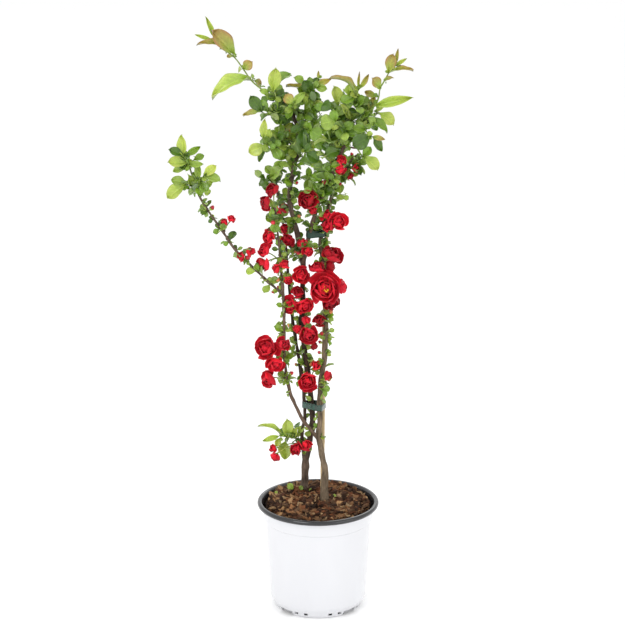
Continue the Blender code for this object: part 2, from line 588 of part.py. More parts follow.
def make_mix(group, cutters, finish):
    """Bark potting mix: a mounded plug with chips raised all over its top, and a hole for each stem."""
    edge = inner_radius(MIX_EDGE_HEIGHT - MIX_TILT) - GAP
    low = POT_CHAMFER_HEIGHT + POT_WALL
    profile = [(0, MIX_EDGE_HEIGHT)] + [(edge * part, MIX_EDGE_HEIGHT) for part in reversed(MIX_RINGS)]
    profile += [(edge, MIX_EDGE_HEIGHT), (inner_radius(low) - GAP, low),
                (POT_FOOT_RADIUS - POT_WALL - 0.004, MIX_FLOOR), (0, MIX_FLOOR)]
    bm = bmesh.new()
    bm.from_mesh(turned("potting_mix", profile, MIX_STEPS))
    rng = random.Random(SEED)
    for vert in bm.verts:
        if vert.co.z > MIX_EDGE_HEIGHT - MM:
            radius = math.hypot(vert.co.x, vert.co.y)
            angle = math.atan2(vert.co.y, vert.co.x)
            wander = 0.0
            if 0.001 < radius < edge * 0.97:
                wander = rng.uniform(-0.0016, 0.0016)
                angle += rng.uniform(-0.3, 0.3) * 2 * math.pi / MIX_STEPS
                radius += rng.uniform(-0.0045, 0.0045)
                vert.co.x = radius * math.cos(angle)
                vert.co.y = radius * math.sin(angle)
            vert.co.z = mix_height(radius, angle) + wander
    top = [f for f in bm.faces if len(f.verts) == 4 and f.normal.z > 0.6
           and math.hypot(*f.calc_center_median()[:2]) < edge * 0.95]
    rng.shuffle(top)
    for face in top:
        raised = bmesh.ops.extrude_discrete_faces(bm, faces=[face])["faces"][0]
        centre = raised.calc_center_median()
        lift = Vector((0, 0, rng.uniform(*CHIP_HEIGHT)))
        slope = Vector((rng.uniform(-0.22, 0.22), rng.uniform(-0.22, 0.22), 0))
        shrink = rng.uniform(0.62, 0.9)
        for vert in raised.verts:
            offset = (vert.co - centre) * shrink
            vert.co = centre + offset + lift + Vector((0, 0, slope.dot(offset)))
    mix = add_object("potting_mix", mesh_from(bm, "potting_mix"), group, [finish])
    for stem in (LEFT_TRUNK, RIGHT_TRUNK, STAKE):
        foot, head, radius = mm(stem[0]), mm(stem[1]), stem[0][3] * MM + HOLE_CLEARANCE
        bm = bmesh.new()
        bmesh.ops.create_cone(bm, cap_ends=True, segments=10, radius1=radius * 1.06, radius2=radius * 1.06,
                              depth=0.2)
        turn = UP.rotation_difference(head - foot).to_matrix().to_4x4()
        base = foot - (head - foot).normalized() * GAP
        bm.transform(Matrix.Translation(base) @ turn @ Matrix.Translation((0, 0, 0.1)))
        cut(mix, cutter(mesh_from(bm, "stem_hole"), cutters))
    return mix


def stem_points(stem):
    return [mm(p) for p in stem], [p[3] * MM for p in stem]


def banded(stem, places):
    """A stem's points with a short band put in round each place, given as a length along the stem."""
    points, radii = stem_points(stem)
    reach = [0.0]
    for a, b in zip(points, points[1:]):
        reach.append(reach[-1] + (b - a).length)
    rows = [(s, p, r) for s, p, r in zip(reach, points, radii)
            if all(abs(s - place) > TUFT_BAND * 1.2 for place in places)]
    for place in places:
        for s in (place - TUFT_BAND / 2, place + TUFT_BAND / 2):
            rows.append((s, *at_length(stem, s)))
    rows.sort(key=lambda row: row[0])
    return [row[1] for row in rows], [row[2] for row in rows]


def at_length(stem, length):
    """The point and radius at a length along a stem."""
    points, radii = stem_points(stem)
    for a, b, ra, rb in zip(points, points[1:], radii, radii[1:]):
        step = (b - a).length
        if length <= step:
            part = length / step
            return a.lerp(b, part), ra + (rb - ra) * part
        length -= step
    return points[-1], radii[-1]


def stem_length(stem):
    points, _ = stem_points(stem)
    return sum((b - a).length for a, b in zip(points, points[1:]))


def tuft_places(name, stem):
    """Where the leaf tufts stand along a stem: about evenly, from where the wood is leafy up."""
    start, pitch = TUFT_ROWS[name]
    end = stem_length(stem) - 0.012
    rng = random.Random(f"{name}-places")
    places = []
    place = start
    while place < end:
        places.append(place + rng.uniform(-0.2, 0.2) * pitch)
        place += pitch
    return places


def tuft_leaves(name, index, centre, along):
    """The leaves of one tuft: direction, length, width and roll of each."""
    rng = random.Random(f"{name}-{index}")
    side = along.orthogonal().normalized()
    turn = rng.uniform(0, 2 * math.pi)
    leaves = []
    for i in range(TUFT_LEAVES):
        angle = turn + i * 2 * math.pi / TUFT_LEAVES + rng.uniform(-0.4, 0.4)
        outward = Matrix.Rotation(angle, 3, along) @ side
        lean = rng.uniform(0.15, 0.75)
        direction = (outward + UP * lean + FRONT * 0.15).normalized()
        length = rng.uniform(*TUFT_LENGTH)
        leaves.append((outward, direction, length, length * rng.uniform(0.5, 0.66), rng.uniform(-0.5, 0.5)))
    return leaves


def add_tufts(bm, stem_names, filled):
    """Raises the small leaf tufts from a cane's surface, leaving out leaves that have no room."""
    for name in stem_names:
        stem = STEMS[name]
        for index, place in enumerate(tuft_places(name, stem)):
            centre, radius = at_length(stem, place)
            if any(abs(centre.z - height * MM) < TIE_HEIGHT for height, _ in TIES.values()):
                continue
            ahead, _ = at_length(stem, place + 0.004)
            along = (ahead - centre).normalized()
            used = set()
            bm.faces.index_update()
            bm.normal_update()
            for outward, direction, length, width, roll in tuft_leaves(name, index, centre, along):
                face = face_towards(bm, centre + outward * radius * 0.85, outward, TUFT_BAND * 0.7, used)
                if face is None or face.normal.dot(direction) < LEAST_SPREAD:
                    continue
                base = face.calc_center_median()
                grow_leaf(bm, face, base, base + direction * length, width, UP, roll, TUFT_STATIONS, filled, used,
                          finish_index=1)


def grow_leaf(bm, face, base, tip, width, facing, roll, stations, filled, used, arch=0.08, finish_index=0):
    """Raises one leaf from a face if it has room, rolled a little where that follows the face better."""
    choices = []
    for turn in (roll, roll + ROLL_STEP, roll - ROLL_STEP):
        _, across, upper = blade_frame(base, tip, facing, turn)
        choices.append(blade_sections(base, tip, width, upper, across, stations, arch))
    sections = min(choices, key=lambda made: nearest_turn(face, made[0])[0])
    _, start = nearest_turn(face, sections[0])
    foot = [loop.vert.co for loop in face.loops]
    root = [foot[(i - start) % 4].lerp(sections[0][i], CLEAR_FROM) for i in range(4)]
    shape = blade_shape([root] + sections, tip)
    if filled.hits(*shape):
        return
    used.add(face.index)
    face.material_index = finish_index
    raise_blade(bm, face, sections, tip)
    filled.add_shape(*blade_shape([root] + sections, tip, 0.0))


def make_cane(name, stem_names, group, finishes):
    """The bare wood of one cane: its stems as tapering tubes, joined where they branch."""
    meshes = []
    for stem_name in stem_names:
        stem = STEMS[stem_name]
        places = tuft_places(stem_name, stem) if stem_name in TUFT_ROWS else []
        points, radii = banded(stem, places)
        meshes.append(tube(points, radii, 2 if "trunk" in stem_name else 1))
    return fused(name, meshes, group, finishes)


def dress_cane(cane, stem_names, filled):
    """Raises the leaf tufts from a finished cane."""
    bm = bmesh.new()
    bm.from_mesh(cane.data)
    add_tufts(bm, [n for n in stem_names if n in TUFT_ROWS], filled)
    for face in bm.faces:
        face.smooth = False
    bm.to_mesh(cane.data)
    bm.free()


FACING = {"flat": Vector((0, -0.85, 0.5)), "arched": Vector((0.0, -0.4, 1.0))}
ARCH = {"flat": 0.08, "arched": 0.2}


def shoot_depths(stem_name, spread, route):
    """How far back each point of a shoot lies, in millimetres."""
    start = lean(stem_name, route[0][2])
    return [start + spread * k / (len(route) - 1) for k in range(len(route))]


def shoot_points(route, depths, tree):
    """A shoot's points, with its foot moved to just off the stem that carries it."""
    points = [mm(set_back(p, depth)) for p, depth in zip(route, depths)]
    foot, normal = seat_on(tree, points[0], points[1])
    heel = foot + normal * 0.0024
    return [foot, heel] + points[1:]


def make_shoot(row, tree, group, finish, filled):
    """A green leafy shoot: a thin stem with its leaves raised from it."""
    name, stem_name, radius, spread, route, leaves = row
    depths = shoot_depths(stem_name, spread, route)
    points = shoot_points(route, depths, tree)
    stations = sorted({k for k, *_ in leaves if k > 0})
    rows = [points[0], points[1]]
    for k in range(1, len(route)):
        here = points[k + 1]
        back = (points[k] - here).normalized() * TUFT_BAND / 2
        if k in stations:
            rows.append(here + back)
            onward = points[k + 2] - here if k + 2 < len(points) else -back
            rows.append(here + onward.normalized() * TUFT_BAND / 2)
        else:
            rows.append(here)
    taper = [radius * MM * (1 - 0.35 * i / (len(rows) - 1)) for i in range(len(rows))]
    bm = bmesh.new()
    bm.from_mesh(tube(rows, taper, 0))
    bm.normal_update()
    bm.faces.index_update()
    used = set()
    for index, (k, tip, width, form) in enumerate(leaves):
        rng = random.Random(f"{name}-{index}")
        here, end = points[k + 1], mm(set_back(tip, depths[k]))
        roll = rng.uniform(-0.45, 0.45)
        outward = (end - here).normalized()
        face = face_towards(bm, here, outward, radius * MM + TUFT_BAND * 0.7, used)
        base = face.calc_center_median()
        grow_leaf(bm, face, base, end, width * MM, FACING[form], roll, LEAF_STATIONS, filled, used, ARCH[form])
        bm.normal_update()
    filled.trees.append(BVHTree.FromBMesh(bm))
    add_object(name, mesh_from(bm, name), group, [finish])


def make_tie(name, height, stem_names, group, finish):
    """A plastic tie: a flat band drawn round the stems that it holds."""
    corners = []
    for step in range(TIE_STEPS):
        angle = 2 * math.pi * step / TIE_STEPS
        out = Vector((math.cos(angle), math.sin(angle)))
        best = None
        for stem_name in stem_names:
            for level in (height - TIE_HEIGHT / 2, height, height + TIE_HEIGHT / 2):
                centre, radius = at_height(STEMS[stem_name], level)
                edge = centre.xy + out * (radius + GAP)
                if best is None or edge.dot(out) > best.dot(out):
                    best = edge
        corners.append(best)
    bm = bmesh.new()
    ring = [bm.verts.new((c.x, c.y, height - TIE_HEIGHT / 2)) for c in corners]
    edges = [bm.edges.new((a, b)) for a, b in zip(ring, ring[1:] + ring[:1])]
    raised = bmesh.ops.extrude_edge_only(bm, edges=edges)["geom"]
    bmesh.ops.translate(bm, vec=(0, 0, TIE_HEIGHT), verts=[g for g in raised if isinstance(g, bmesh.types.BMVert)])
    bmesh.ops.recalc_face_normals(bm, faces=bm.faces)
    tie = add_object(name, mesh_from(bm, name), group, [finish])
    wall = tie.modifiers.new("wall", "SOLIDIFY")
    wall.thickness = TIE_THICKNESS
    wall.offset = 1.0
    return tie


def at_height(stem, height):
    """The point and radius where a stem passes a height."""
    points, radii = stem_points(stem)
    for a, b, ra, rb in zip(points, points[1:], radii, radii[1:]):
        if a.z <= height <= b.z:
            part = (height - a.z) / (b.z - a.z)
            return a.lerp(b, part), ra + (rb - ra) * part
    return points[-1], radii[-1]


def whorl(bm, centre, axis, face_rows, lengths, tilt, width, stations, turn):
    """Raises one whorl of petals, one from each face of a row round the receptacle."""
    for face in face_rows:
        outward = face.calc_center_median() - centre
        outward = (outward - axis * outward.dot(axis)).normalized()
        outward = Matrix.Rotation(turn, 3, axis) @ outward
        direction = (outward * math.cos(tilt) + axis * math.sin(tilt)).normalized()
        base = face.calc_center_median()
        tip = base + direction * lengths
        _, across, upper = blade_frame(base, tip, axis)
        sections = blade_sections(base, tip, width, upper, across, stations, 0.1, 0.14, PETAL_THICKNESS)
        raise_blade(bm, face, sections, tip)


def bloom_mesh(centre, facing, size, form):
    """One bloom: a small receptacle with whorls of petals raised from it."""
    bm = bmesh.new()
    bands, core = FORMS[form]["bands"], size * FORMS[form]["core"]
    bmesh.ops.create_uvsphere(bm, u_segments=5, v_segments=bands + 2, radius=core)
    turn = UP.rotation_difference(facing).to_matrix().to_4x4()
    bm.transform(Matrix.Translation(centre) @ turn)
    rows = [[] for _ in range(bands)]
    for face in bm.faces:
        if len(face.verts) == 4:
            part = (face.calc_center_median() - centre).dot(facing) / core
            angle = math.degrees(math.asin(max(-1, min(1, part))))
            row = int((angle + 90) / 180 * (bands + 2)) - 1
            rows[max(0, min(bands - 1, row))].append(face)
    for row, (reach, tilt, width, stations, twist) in zip(rows, FORMS[form]["whorls"]):
        whorl(bm, centre, facing, row, size * reach, math.radians(tilt), size * width, stations,
              math.radians(twist))
    return mesh_from(bm, "bloom")


def bud_mesh(centre, facing, size):
    """A closed bud: an egg with a drawn-out tip."""
    bm = bmesh.new()
    bmesh.ops.create_uvsphere(bm, u_segments=5, v_segments=4, radius=size / 2)
    for vert in bm.verts:
        vert.co.z *= 1.25 if vert.co.z > 0 else 1.0
    turn = UP.rotation_difference(facing).to_matrix().to_4x4()
    bm.transform(Matrix.Translation(centre) @ turn)
    return mesh_from(bm, "bud")


def make_cluster(row, tree, group, finishes, filled):
    """A cluster of blooms and buds on short stalks from one spur, fused into one body."""
    name, stem_name, root, blooms = row
    depth = lean(stem_name, root[2])
    centres = [mm(set_back(bloom, depth)) for bloom in blooms]
    aim = sum(centres, Vector()) / len(centres)
    foot, normal = seat_on(tree, mm(set_back(root, depth)), aim)
    knee = foot + normal * 0.0045
    meshes = [tube([foot, knee], [0.0018, 0.0016], 0)]
    for centre, (*_, size, turn, lift, form) in zip(centres, blooms):
        yaw, pitch = math.radians(turn), math.radians(lift)
        facing = Vector((math.sin(yaw) * math.cos(pitch), -math.cos(yaw) * math.cos(pitch), math.sin(pitch)))
        if form == "bud":
            meshes.append(bud_mesh(centre, facing, size * MM))
        else:
            meshes.append(bloom_mesh(centre, facing, size * MM, form))
        behind = centre - facing * size * MM * (0.32 if form == "bud" else 0.1)
        meshes.append(tube([knee - normal * 0.001, behind + facing * 0.001], [0.0011, 0.0013], 0))
    cluster = fused(name, meshes, group, finishes)
    filled.add(cluster.data)
    return cluster


def main():
    clear_scene()
    plant = collection("flowering_quince")
    cutters = collection("cutters")
    white = material("white_plastic", (0.86, 0.86, 0.88), 0.35)
    bark_mix = material("bark_mix", (0.16, 0.08, 0.04), 0.9)
    bark = material("cane_bark", (0.2, 0.15, 0.1), 0.8)
    bamboo = material("bamboo", (0.55, 0.44, 0.26), 0.6)
    tape = material("green_tape", (0.03, 0.22, 0.1), 0.3)
    leaf = material("leaf_green", (0.14, 0.33, 0.05), 0.45)
    petal = material("scarlet_petal", (0.62, 0.01, 0.02), 0.5)
    make_pot(plant, cutters, white)
    make_mix(plant, cutters, bark_mix)
    filled = Filled()
    canes = {}
    for name, stem_names in CANES.items():
        canes[name] = make_cane(name, stem_names, plant, [bark, leaf])
        filled.add(canes[name].data)
    stake = add_object("bamboo_stake", tube(*stem_points(STAKE), 2), plant, [bamboo])
    filled.add(stake.data)
    for name, (height, stem_names) in TIES.items():
        tie = make_tie(name, height * MM, stem_names, plant, tape)
        filled.add(tie.data)
    trees = {stem: tree_of(canes[name].data) for name, stems in CANES.items() for stem in stems}
    for row in CLUSTERS:
        make_cluster(row, trees[row[1]], plant, [petal], filled)
    for row in SHOOTS:
        make_shoot(row, trees[row[1]], plant, leaf, filled)
    for name, stem_names in CANES.items():
        dress_cane(canes[name], stem_names, filled)


main()
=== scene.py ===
"""Looks of a young flowering quince in its nursery pot: barked canes, a bamboo stake, green ties,
leafy shoots, double scarlet blooms, and bark chips in a white pot with a black rim.

Metres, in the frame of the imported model. Routes and leaf tips are listed in millimetres.
"""
import math
import random

import bpy
import numpy as np
from mathutils import Matrix, Vector, noise


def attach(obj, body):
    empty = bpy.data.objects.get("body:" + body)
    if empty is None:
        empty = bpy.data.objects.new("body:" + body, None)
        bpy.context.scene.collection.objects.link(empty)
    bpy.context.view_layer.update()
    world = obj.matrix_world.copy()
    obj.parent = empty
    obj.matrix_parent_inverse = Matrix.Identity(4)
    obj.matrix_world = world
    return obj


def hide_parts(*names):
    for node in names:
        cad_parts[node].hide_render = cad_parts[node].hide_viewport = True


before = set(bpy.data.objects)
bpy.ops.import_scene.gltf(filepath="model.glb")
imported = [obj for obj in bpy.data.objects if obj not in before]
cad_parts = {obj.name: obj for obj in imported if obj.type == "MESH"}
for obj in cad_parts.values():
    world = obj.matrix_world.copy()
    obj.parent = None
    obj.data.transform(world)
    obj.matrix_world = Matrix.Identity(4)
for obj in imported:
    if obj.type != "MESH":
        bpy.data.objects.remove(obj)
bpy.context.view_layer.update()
bpy.ops.object.select_all(action="DESELECT")

MM = 0.001

# The pot: its height, the radii of its rim and of its wall from top to foot, and its steps and notches.
POT_HEIGHT = 0.198
POT_RIM_RADIUS = 0.110
POT_TOP_RADIUS = 0.0995
POT_LOWER_RADIUS = 0.0872
POT_FOOT_RADIUS = 0.078
POT_CHAMFER_HEIGHT = 0.019
POT_SHOULDER_DROP = 0.032
POT_WALL = 0.0024
RIM_HEIGHT = 0.0075
RIM_ROLL = 0.0045
NOTCH_WIDTH = 0.030
NOTCH_HEIGHT = 0.009
NOTCH_ANGLES = (45, 135, 225, 315)
SLOT_OFFSETS = (-0.039, -0.022, 0.022, 0.039)
SLOT_SIZE = (0.030, 0.0065, 0.0050)

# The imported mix: its height at the wall, its mound, and how much higher it is at the back.
MIX_EDGE_HEIGHT = 0.180
MIX_MOUND = 0.009
MIX_TILT = 0.0035
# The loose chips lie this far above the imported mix, and a little farther in the middle.
MIX_RISE = 0.0105
MIX_CENTRE_RISE = 0.004
CHIP_MODELS = 5
CHIP_COUNT = 1500
CHIP_LENGTHS = (0.006, 0.021)
WALL_CHIP_LENGTHS = (0.005, 0.011)
# How far the chips tip over, in radians.
CHIP_TILT = 0.38
# Small leaves on the mix: place, length and turn, in millimetres and degrees.
MIX_LEAVES = ((-80, 26, 8, 30), (-42, 32, 17, 160), (-36, 30, 12, 40), (-14, 20, 9, 80), (25, -6, 9, 20))

# The stake: the step along it, the steps from one node to the next, and its swell there and between.
STAKE_STEP = 0.006
STAKE_NODE_STEPS = 24
STAKE_RIDGE = 1.16
STAKE_BETWEEN = 0.99
# The lengths of the leaves in a tuft.
TUFT_LENGTH = (0.013, 0.023)
# The ties: width of the tape, its thickness, points round it and rows up it, and how far leaves keep off.
TIE_HEIGHT = 0.012
TIE_WALL = 0.00045
TIE_STEPS = 72
TIE_ROWS = 6
TIE_CLEARANCE = 0.012
UP = Vector((0, 0, 1))
FRONT = Vector((0, -1, 0))

# Colours in linear light.
DARK_GREEN = (0.056, 0.120, 0.010)
MID_GREEN = (0.152, 0.265, 0.022)
SOFT_GREEN = (0.240, 0.350, 0.052)
LIGHT_GREEN = (0.315, 0.425, 0.065)
YELLOW_GREEN = (0.440, 0.500, 0.095)
UNDERSIDE = (0.240, 0.330, 0.160)
BRONZE = (0.380, 0.150, 0.060)
SCARLET = (0.630, 0.010, 0.026)
# Crimson serves the listed dark blooms, and is painted shade on blooms that face downwards.
CRIMSON = (0.380, 0.005, 0.014)
BUD_RED = (0.680, 0.050, 0.065)
BUD_PEACH = (0.680, 0.230, 0.100)
STAMEN_YELLOW = (0.900, 0.500, 0.020)
BARK_GREY = (0.110, 0.076, 0.054)
BARK_DARK = (0.048, 0.031, 0.022)
BARK_TAN = (0.150, 0.112, 0.074)
SHOOT_GREEN = (0.200, 0.280, 0.050)
CHIP_COLOURS = ((0.15, 0.060, 0.028), (0.24, 0.12, 0.055), (0.33, 0.20, 0.10), (0.036, 0.018, 0.011),
                (0.085, 0.036, 0.019), (0.055, 0.028, 0.017), (0.12, 0.065, 0.035))
LOW_GREENS = (MID_GREEN, MID_GREEN, SOFT_GREEN, LIGHT_GREEN)
HIGH_GREENS = (DARK_GREEN, DARK_GREEN, MID_GREEN, MID_GREEN, SOFT_GREEN)
CROWN_GREENS = (DARK_GREEN, MID_GREEN, MID_GREEN, SOFT_GREEN, LIGHT_GREEN)

# Each cane is a list of stems, and each stem a list of points (x, y, z, radius), all in millimetres.
LEFT_TRUNK = [
    (-25, 38, 122, 7.5), (-25, 38, 183, 7.5), (-25, 37, 223, 7.3), (-23, 35, 251, 6.8), (-19, 31, 285, 6.2),
    (-13, 26, 310, 5.6), (-9, 19, 346, 5.2), (-11, 15, 371, 5.2), (-15, 12, 413, 5.2), (-21, 10, 457, 5.2),
    (-25, 9, 489, 5.2), (-29, 8, 532, 5.1), (-28, 6, 573, 5.0), (-27, 5, 600, 5.0), (-28, 4, 642, 4.8),
    (-34, 2, 683, 4.6), (-44, 0, 723, 4.4), (-51, -2, 755, 4.2), (-49, -3, 782, 4.2), (-41, -2, 817, 4.2),
    (-34, 0, 848, 4.0), (-35, 2, 878, 3.6), (-42, 4, 902, 3.2), (-53, 5, 922, 2.8), (-66, 4, 931, 2.2),
]
LEFT_SIDE = [
    (-24, 34, 262, 3.6), (-29, 30, 301, 3.4), (-29, 27, 323, 3.3), (-24, 20, 344, 3.2), (-24, 11, 372, 3.2),
    (-27, 8, 414, 3.2), (-33, 9, 457, 3.1), (-39, 11, 492, 3.0), (-45, 10, 531, 3.0), (-49, 7, 572, 2.9),
    (-52, 4, 613, 2.8), (-55, 2, 656, 2.6), (-59, 4, 697, 2.4), (-65, 6, 732, 2.2), (-71, 6, 766, 2.0),
    (-73, 5, 793, 1.8), (-71, 5, 816, 1.6),
]
CROSSING = [
    (-27, 0, 636, 4.2), (-21, -6, 667, 4.1), (-16, -9, 693, 4.0), (-10, -10, 718, 4.0), (0, -10, 752, 3.9),
    (10, -9, 769, 3.8), (19, -8, 787, 3.8), (33, -4, 826, 3.6), (45, 0, 850, 3.4), (57, 3, 867, 3.1),
    (67, 5, 886, 2.7), (73, 6, 906, 2.2),
]
LEFT_TWIG = [(-33, 0, 846, 2.0), (-45, -1, 850, 1.9), (-57, -4, 866, 1.6)]
CROSSING_TWIG = [(45, 0, 850, 2.0), (55, 10, 846, 1.9), (68, 19, 842, 1.7)]
RIGHT_TRUNK = [
    (11, -19, 122, 7.0), (11, -18, 183, 7.0), (12, -17, 224, 6.9), (12, -15, 265, 6.0), (6, -12, 296, 5.4),
    (0, -9, 322, 5.2), (3, -6, 355, 4.6), (2, -5, 391, 4.4), (5, -6, 430, 4.4), (12, -5, 472, 4.4),
    (14, -2, 510, 4.4), (13, 0, 554, 4.3), (10, 1, 592, 4.2), (7, 1, 643, 4.1), (4, 0, 683, 4.0),
    (10, 3, 715, 3.8), (20, 8, 746, 3.6), (26, 12, 770, 3.3), (36, 14, 794, 3.0), (50, 17, 812, 2.6),
    (60, 21, 822, 2.2), (70, 25, 832, 1.9),
]
RIGHT_FORK = [
    (-1, -10, 320, 3.6), (-13, -14, 337, 3.4), (-25, -16, 353, 3.4), (-38, -16, 379, 3.2),
    (-49, -15, 403, 3.1), (-56, -13, 434, 3.0), (-60, -11, 475, 3.0), (-60, -9, 518, 2.9),
    (-60, -8, 551, 2.8), (-62, -9, 591, 2.8), (-65, -10, 628, 2.4), (-67, -11, 664, 2.2),
    (-71, -11, 704, 2.0), (-75, -9, 739, 1.7),
]
LONG_BRANCH = [
    (-61, -9, 585, 2.5), (-71, -10, 596, 2.4), (-88, -13, 611, 2.3), (-113, -16, 637, 2.2),
    (-134, -18, 659, 2.1), (-149, -19, 676, 2.1), (-161, -20, 696, 2.0), (-172, -21, 713, 2.0),
    (-187, -22, 735, 1.9), (-198, -22, 752, 1.8), (-207, -22, 770, 1.7), (-215, -21, 795, 1.5),
    (-219, -20, 808, 1.3),
]
STAKE = [
    (8, 12, 90, 3.6), (8, 11, 252, 3.6), (9, 10, 387, 3.6), (10, 11, 480, 3.6), (12, 12, 572, 3.6),
    (14, 13, 671, 3.6), (15, 15, 722, 3.6),
]

# Leafy shoots: name, stem that carries it, radius, how far its end lies back, points, and leaves
# as (point of the shoot, tip, width), with a word where a leaf is arched.
SHOOTS = [
    ("shoot_top_left", "left_trunk", 1.5, 50,
     [(-67, 4, 932), (-83, 2, 938), (-100, 0, 951), (-114, -2, 964), (-128, -3, 984), (-143, -3, 1004),
      (-159, -2, 1016), (-176, -2, 1033)],
     [(3, (-181, -22, 937), 30, "arched"), (3, (-98, 14, 955), 14), (4, (-137, 10, 980), 12),
      (4, (-113, -14, 998), 19), (5, (-179, -12, 1052), 32), (5, (-156, 14, 1004), 9),
      (6, (-205, -18, 1029), 14, "arched"), (7, (-192, 0, 1073), 9), (7, (-209, 10, 1041), 7)]),
    ("shoot_upright_pair", "left_trunk", 1.3, -30,
     [(-67, 4, 931), (-74, -2, 937), (-78, -4, 946)],
     [(2, (-72, -18, 988), 23), (2, (-47, 18, 972), 26, "arched"), (1, (-55, -16, 945), 14)]),
    ("shoot_left_top", "left_trunk", 1.3, -45,
     [(-57, 2, 923), (-73, -4, 913), (-86, -8, 906), (-96, -10, 911)],
     [(3, (-116, -16, 940), 21), (3, (-129, -4, 903), 12), (2, (-100, 4, 929), 16),
      (1, (-67, -16, 888), 14), (1, (-60, -24, 914), 18)]),
    ("shoot_left_mid", "left_twig", 1.3, -45,
     [(-57, -4, 866), (-64, -6, 857), (-75, -8, 850), (-88, -10, 855), (-93, -12, 865)],
     [(4, (-92, -14, 900), 14), (3, (-120, -12, 842), 23), (3, (-102, -4, 823), 14),
      (1, (-68, 6, 877), 21), (2, (-66, -20, 830), 18)]),
    ("shoot_bronze_upright", "left_trunk", 1.2, -30,
     [(-44, 4, 907), (-44, -4, 917), (-44, -6, 924)],
     [(2, (-22, -10, 946), 14), (2, (-57, -10, 942), 19), (1, (-52, -22, 899), 14)]),
    ("shoot_middle_top", "left_trunk", 1.4, 30,
     [(-37, 2, 892), (-25, 0, 908), (-13, -3, 925), (-10, -4, 941), (-7, -4, 953), (-1, -4, 967)],
     [(3, (-26, -12, 968), 21), (3, (-55, 6, 956), 9), (4, (16, -14, 951), 14),
      (4, (22, 0, 965), 12), (5, (0, -4, 982), 5), (2, (-35, 14, 926), 18),
      (2, (10, -16, 921), 16), (1, (-4, -26, 909), 26)]),
    ("shoot_centre", "left_trunk", 1.3, -40,
     [(-36, 2, 878), (-26, -10, 885), (-16, -16, 883)],
     [(2, (6, -24, 870), 26), (2, (-13, -36, 900), 14), (1, (-48, -22, 877), 16),
      (1, (-26, -24, 851), 25)]),
    ("shoot_centre_right", "crossing", 1.3, -30,
     [(55, 0, 861), (44, -9, 881), (30, -14, 896)],
     [(2, (3, -22, 893), 28), (2, (25, -24, 918), 16), (1, (34, -20, 868), 19),
      (1, (59, -20, 896), 16)]),
    ("shoot_light_upright", "crossing", 1.3, 25,
     [(63, 4, 881), (51, -4, 896), (39, -8, 907), (32, -8, 921)],
     [(3, (28, -10, 956), 21), (2, (13, -2, 927), 16), (1, (37, -20, 928), 14)]),
    ("shoot_arched_top", "crossing", 1.3, -30,
     [(70, 6, 898), (66, 4, 916), (63, 2, 933), (69, 2, 947)],
     [(2, (22, -6, 972), 16, "arched"), (2, (39, -16, 930), 16), (3, (71, 4, 979), 5),
      (3, (86, 16, 972), 9), (1, (83, -14, 939), 18)]),
    ("shoot_right_top", "crossing", 1.5, -25,
     [(73, 6, 905), (85, 4, 910), (96, 3, 919), (103, 2, 933), (106, 2, 950), (113, 2, 963), (120, 2, 976),
      (130, 1, 988)],
     [(6, (128, -6, 1012), 19), (7, (136, 2, 1019), 7), (7, (151, 0, 1002), 7),
      (6, (162, 8, 977), 9, "arched"), (4, (91, -8, 970), 19), (5, (127, -10, 971), 9),
      (3, (80, 24, 941), 12), (2, (162, -14, 937), 18), (1, (97, 14, 935), 12)]),
    ("shoot_right_round", "crossing", 1.3, 35,
     [(75, 4, 896), (89, -2, 898), (101, -4, 907)],
     [(2, (130, -12, 891), 26), (2, (111, 6, 922), 14), (1, (119, -16, 879), 18),
      (1, (100, 16, 877), 14)]),
    ("shoot_right_mid", "crossing", 1.3, -30,
     [(67, 6, 882), (79, -4, 879), (91, -8, 869)],
     [(2, (58, -18, 854), 28), (2, (115, -8, 863), 9), (2, (108, 0, 841), 16),
      (1, (54, -26, 887), 16)]),
    ("shoot_right_low", "crossing_twig", 1.3, 35,
     [(68, 19, 842), (76, 10, 830)],
     [(1, (103, 2, 807), 26), (1, (91, 6, 847), 16)]),
    ("shoot_centre_low", "left_trunk", 1.2, -30,
     [(-33, 0, 850), (-23, -8, 841)],
     [(1, (1, -14, 827), 23), (1, (-13, -16, 857), 12)]),
    ("shoot_left_low", "left_side", 1.2, 0,
     [(-72, 6, 810), (-77, -3, 798), (-82, -7, 790)],
     [(2, (-102, -12, 784), 18), (1, (-92, -2, 815), 16), (1, (-59, -44, 822), 21),
      (2, (-94, 8, 772), 16)]),
    ("shoot_branch_tip", "long_branch", 1.4, -20,
     [(-219, -20, 810), (-223, -19, 822), (-231, -18, 836)],
     [(2, (-233, -16, 874), 18), (2, (-257, -26, 849), 16), (1, (-258, -28, 828), 21),
      (1, (-195, -28, 824), 12), (2, (-205, -2, 849), 12), (1, (-248, -6, 806), 16)]),
    ("shoot_branch_left", "long_branch", 1.3, 20,
     [(-210, -22, 779), (-219, -28, 786), (-224, -31, 790)],
     [(2, (-260, -38, 767), 25), (2, (-253, -30, 796), 18), (1, (-223, -50, 812), 14)]),
    ("shoot_branch_right", "long_branch", 1.3, -25,
     [(-209, -22, 776), (-204, -25, 792), (-198, -27, 801)],
     [(2, (-175, -30, 822), 16), (2, (-168, -34, 796), 19), (1, (-190, -38, 777), 18),
      (1, (-208, -6, 822), 12)]),
    ("shoot_lower_left", "left_side", 1.5, 10,
     [(-29, 30, 304), (-43, 25, 308), (-56, 20, 312), (-67, 16, 315)],
     [(2, (-56, 10, 351), 21), (3, (-108, 8, 337), 11, "arched"), (3, (-101, 14, 306), 11),
      (2, (-58, 44, 266), 25), (1, (-36, 14, 333), 12), (3, (-76, 22, 292), 12)]),
]

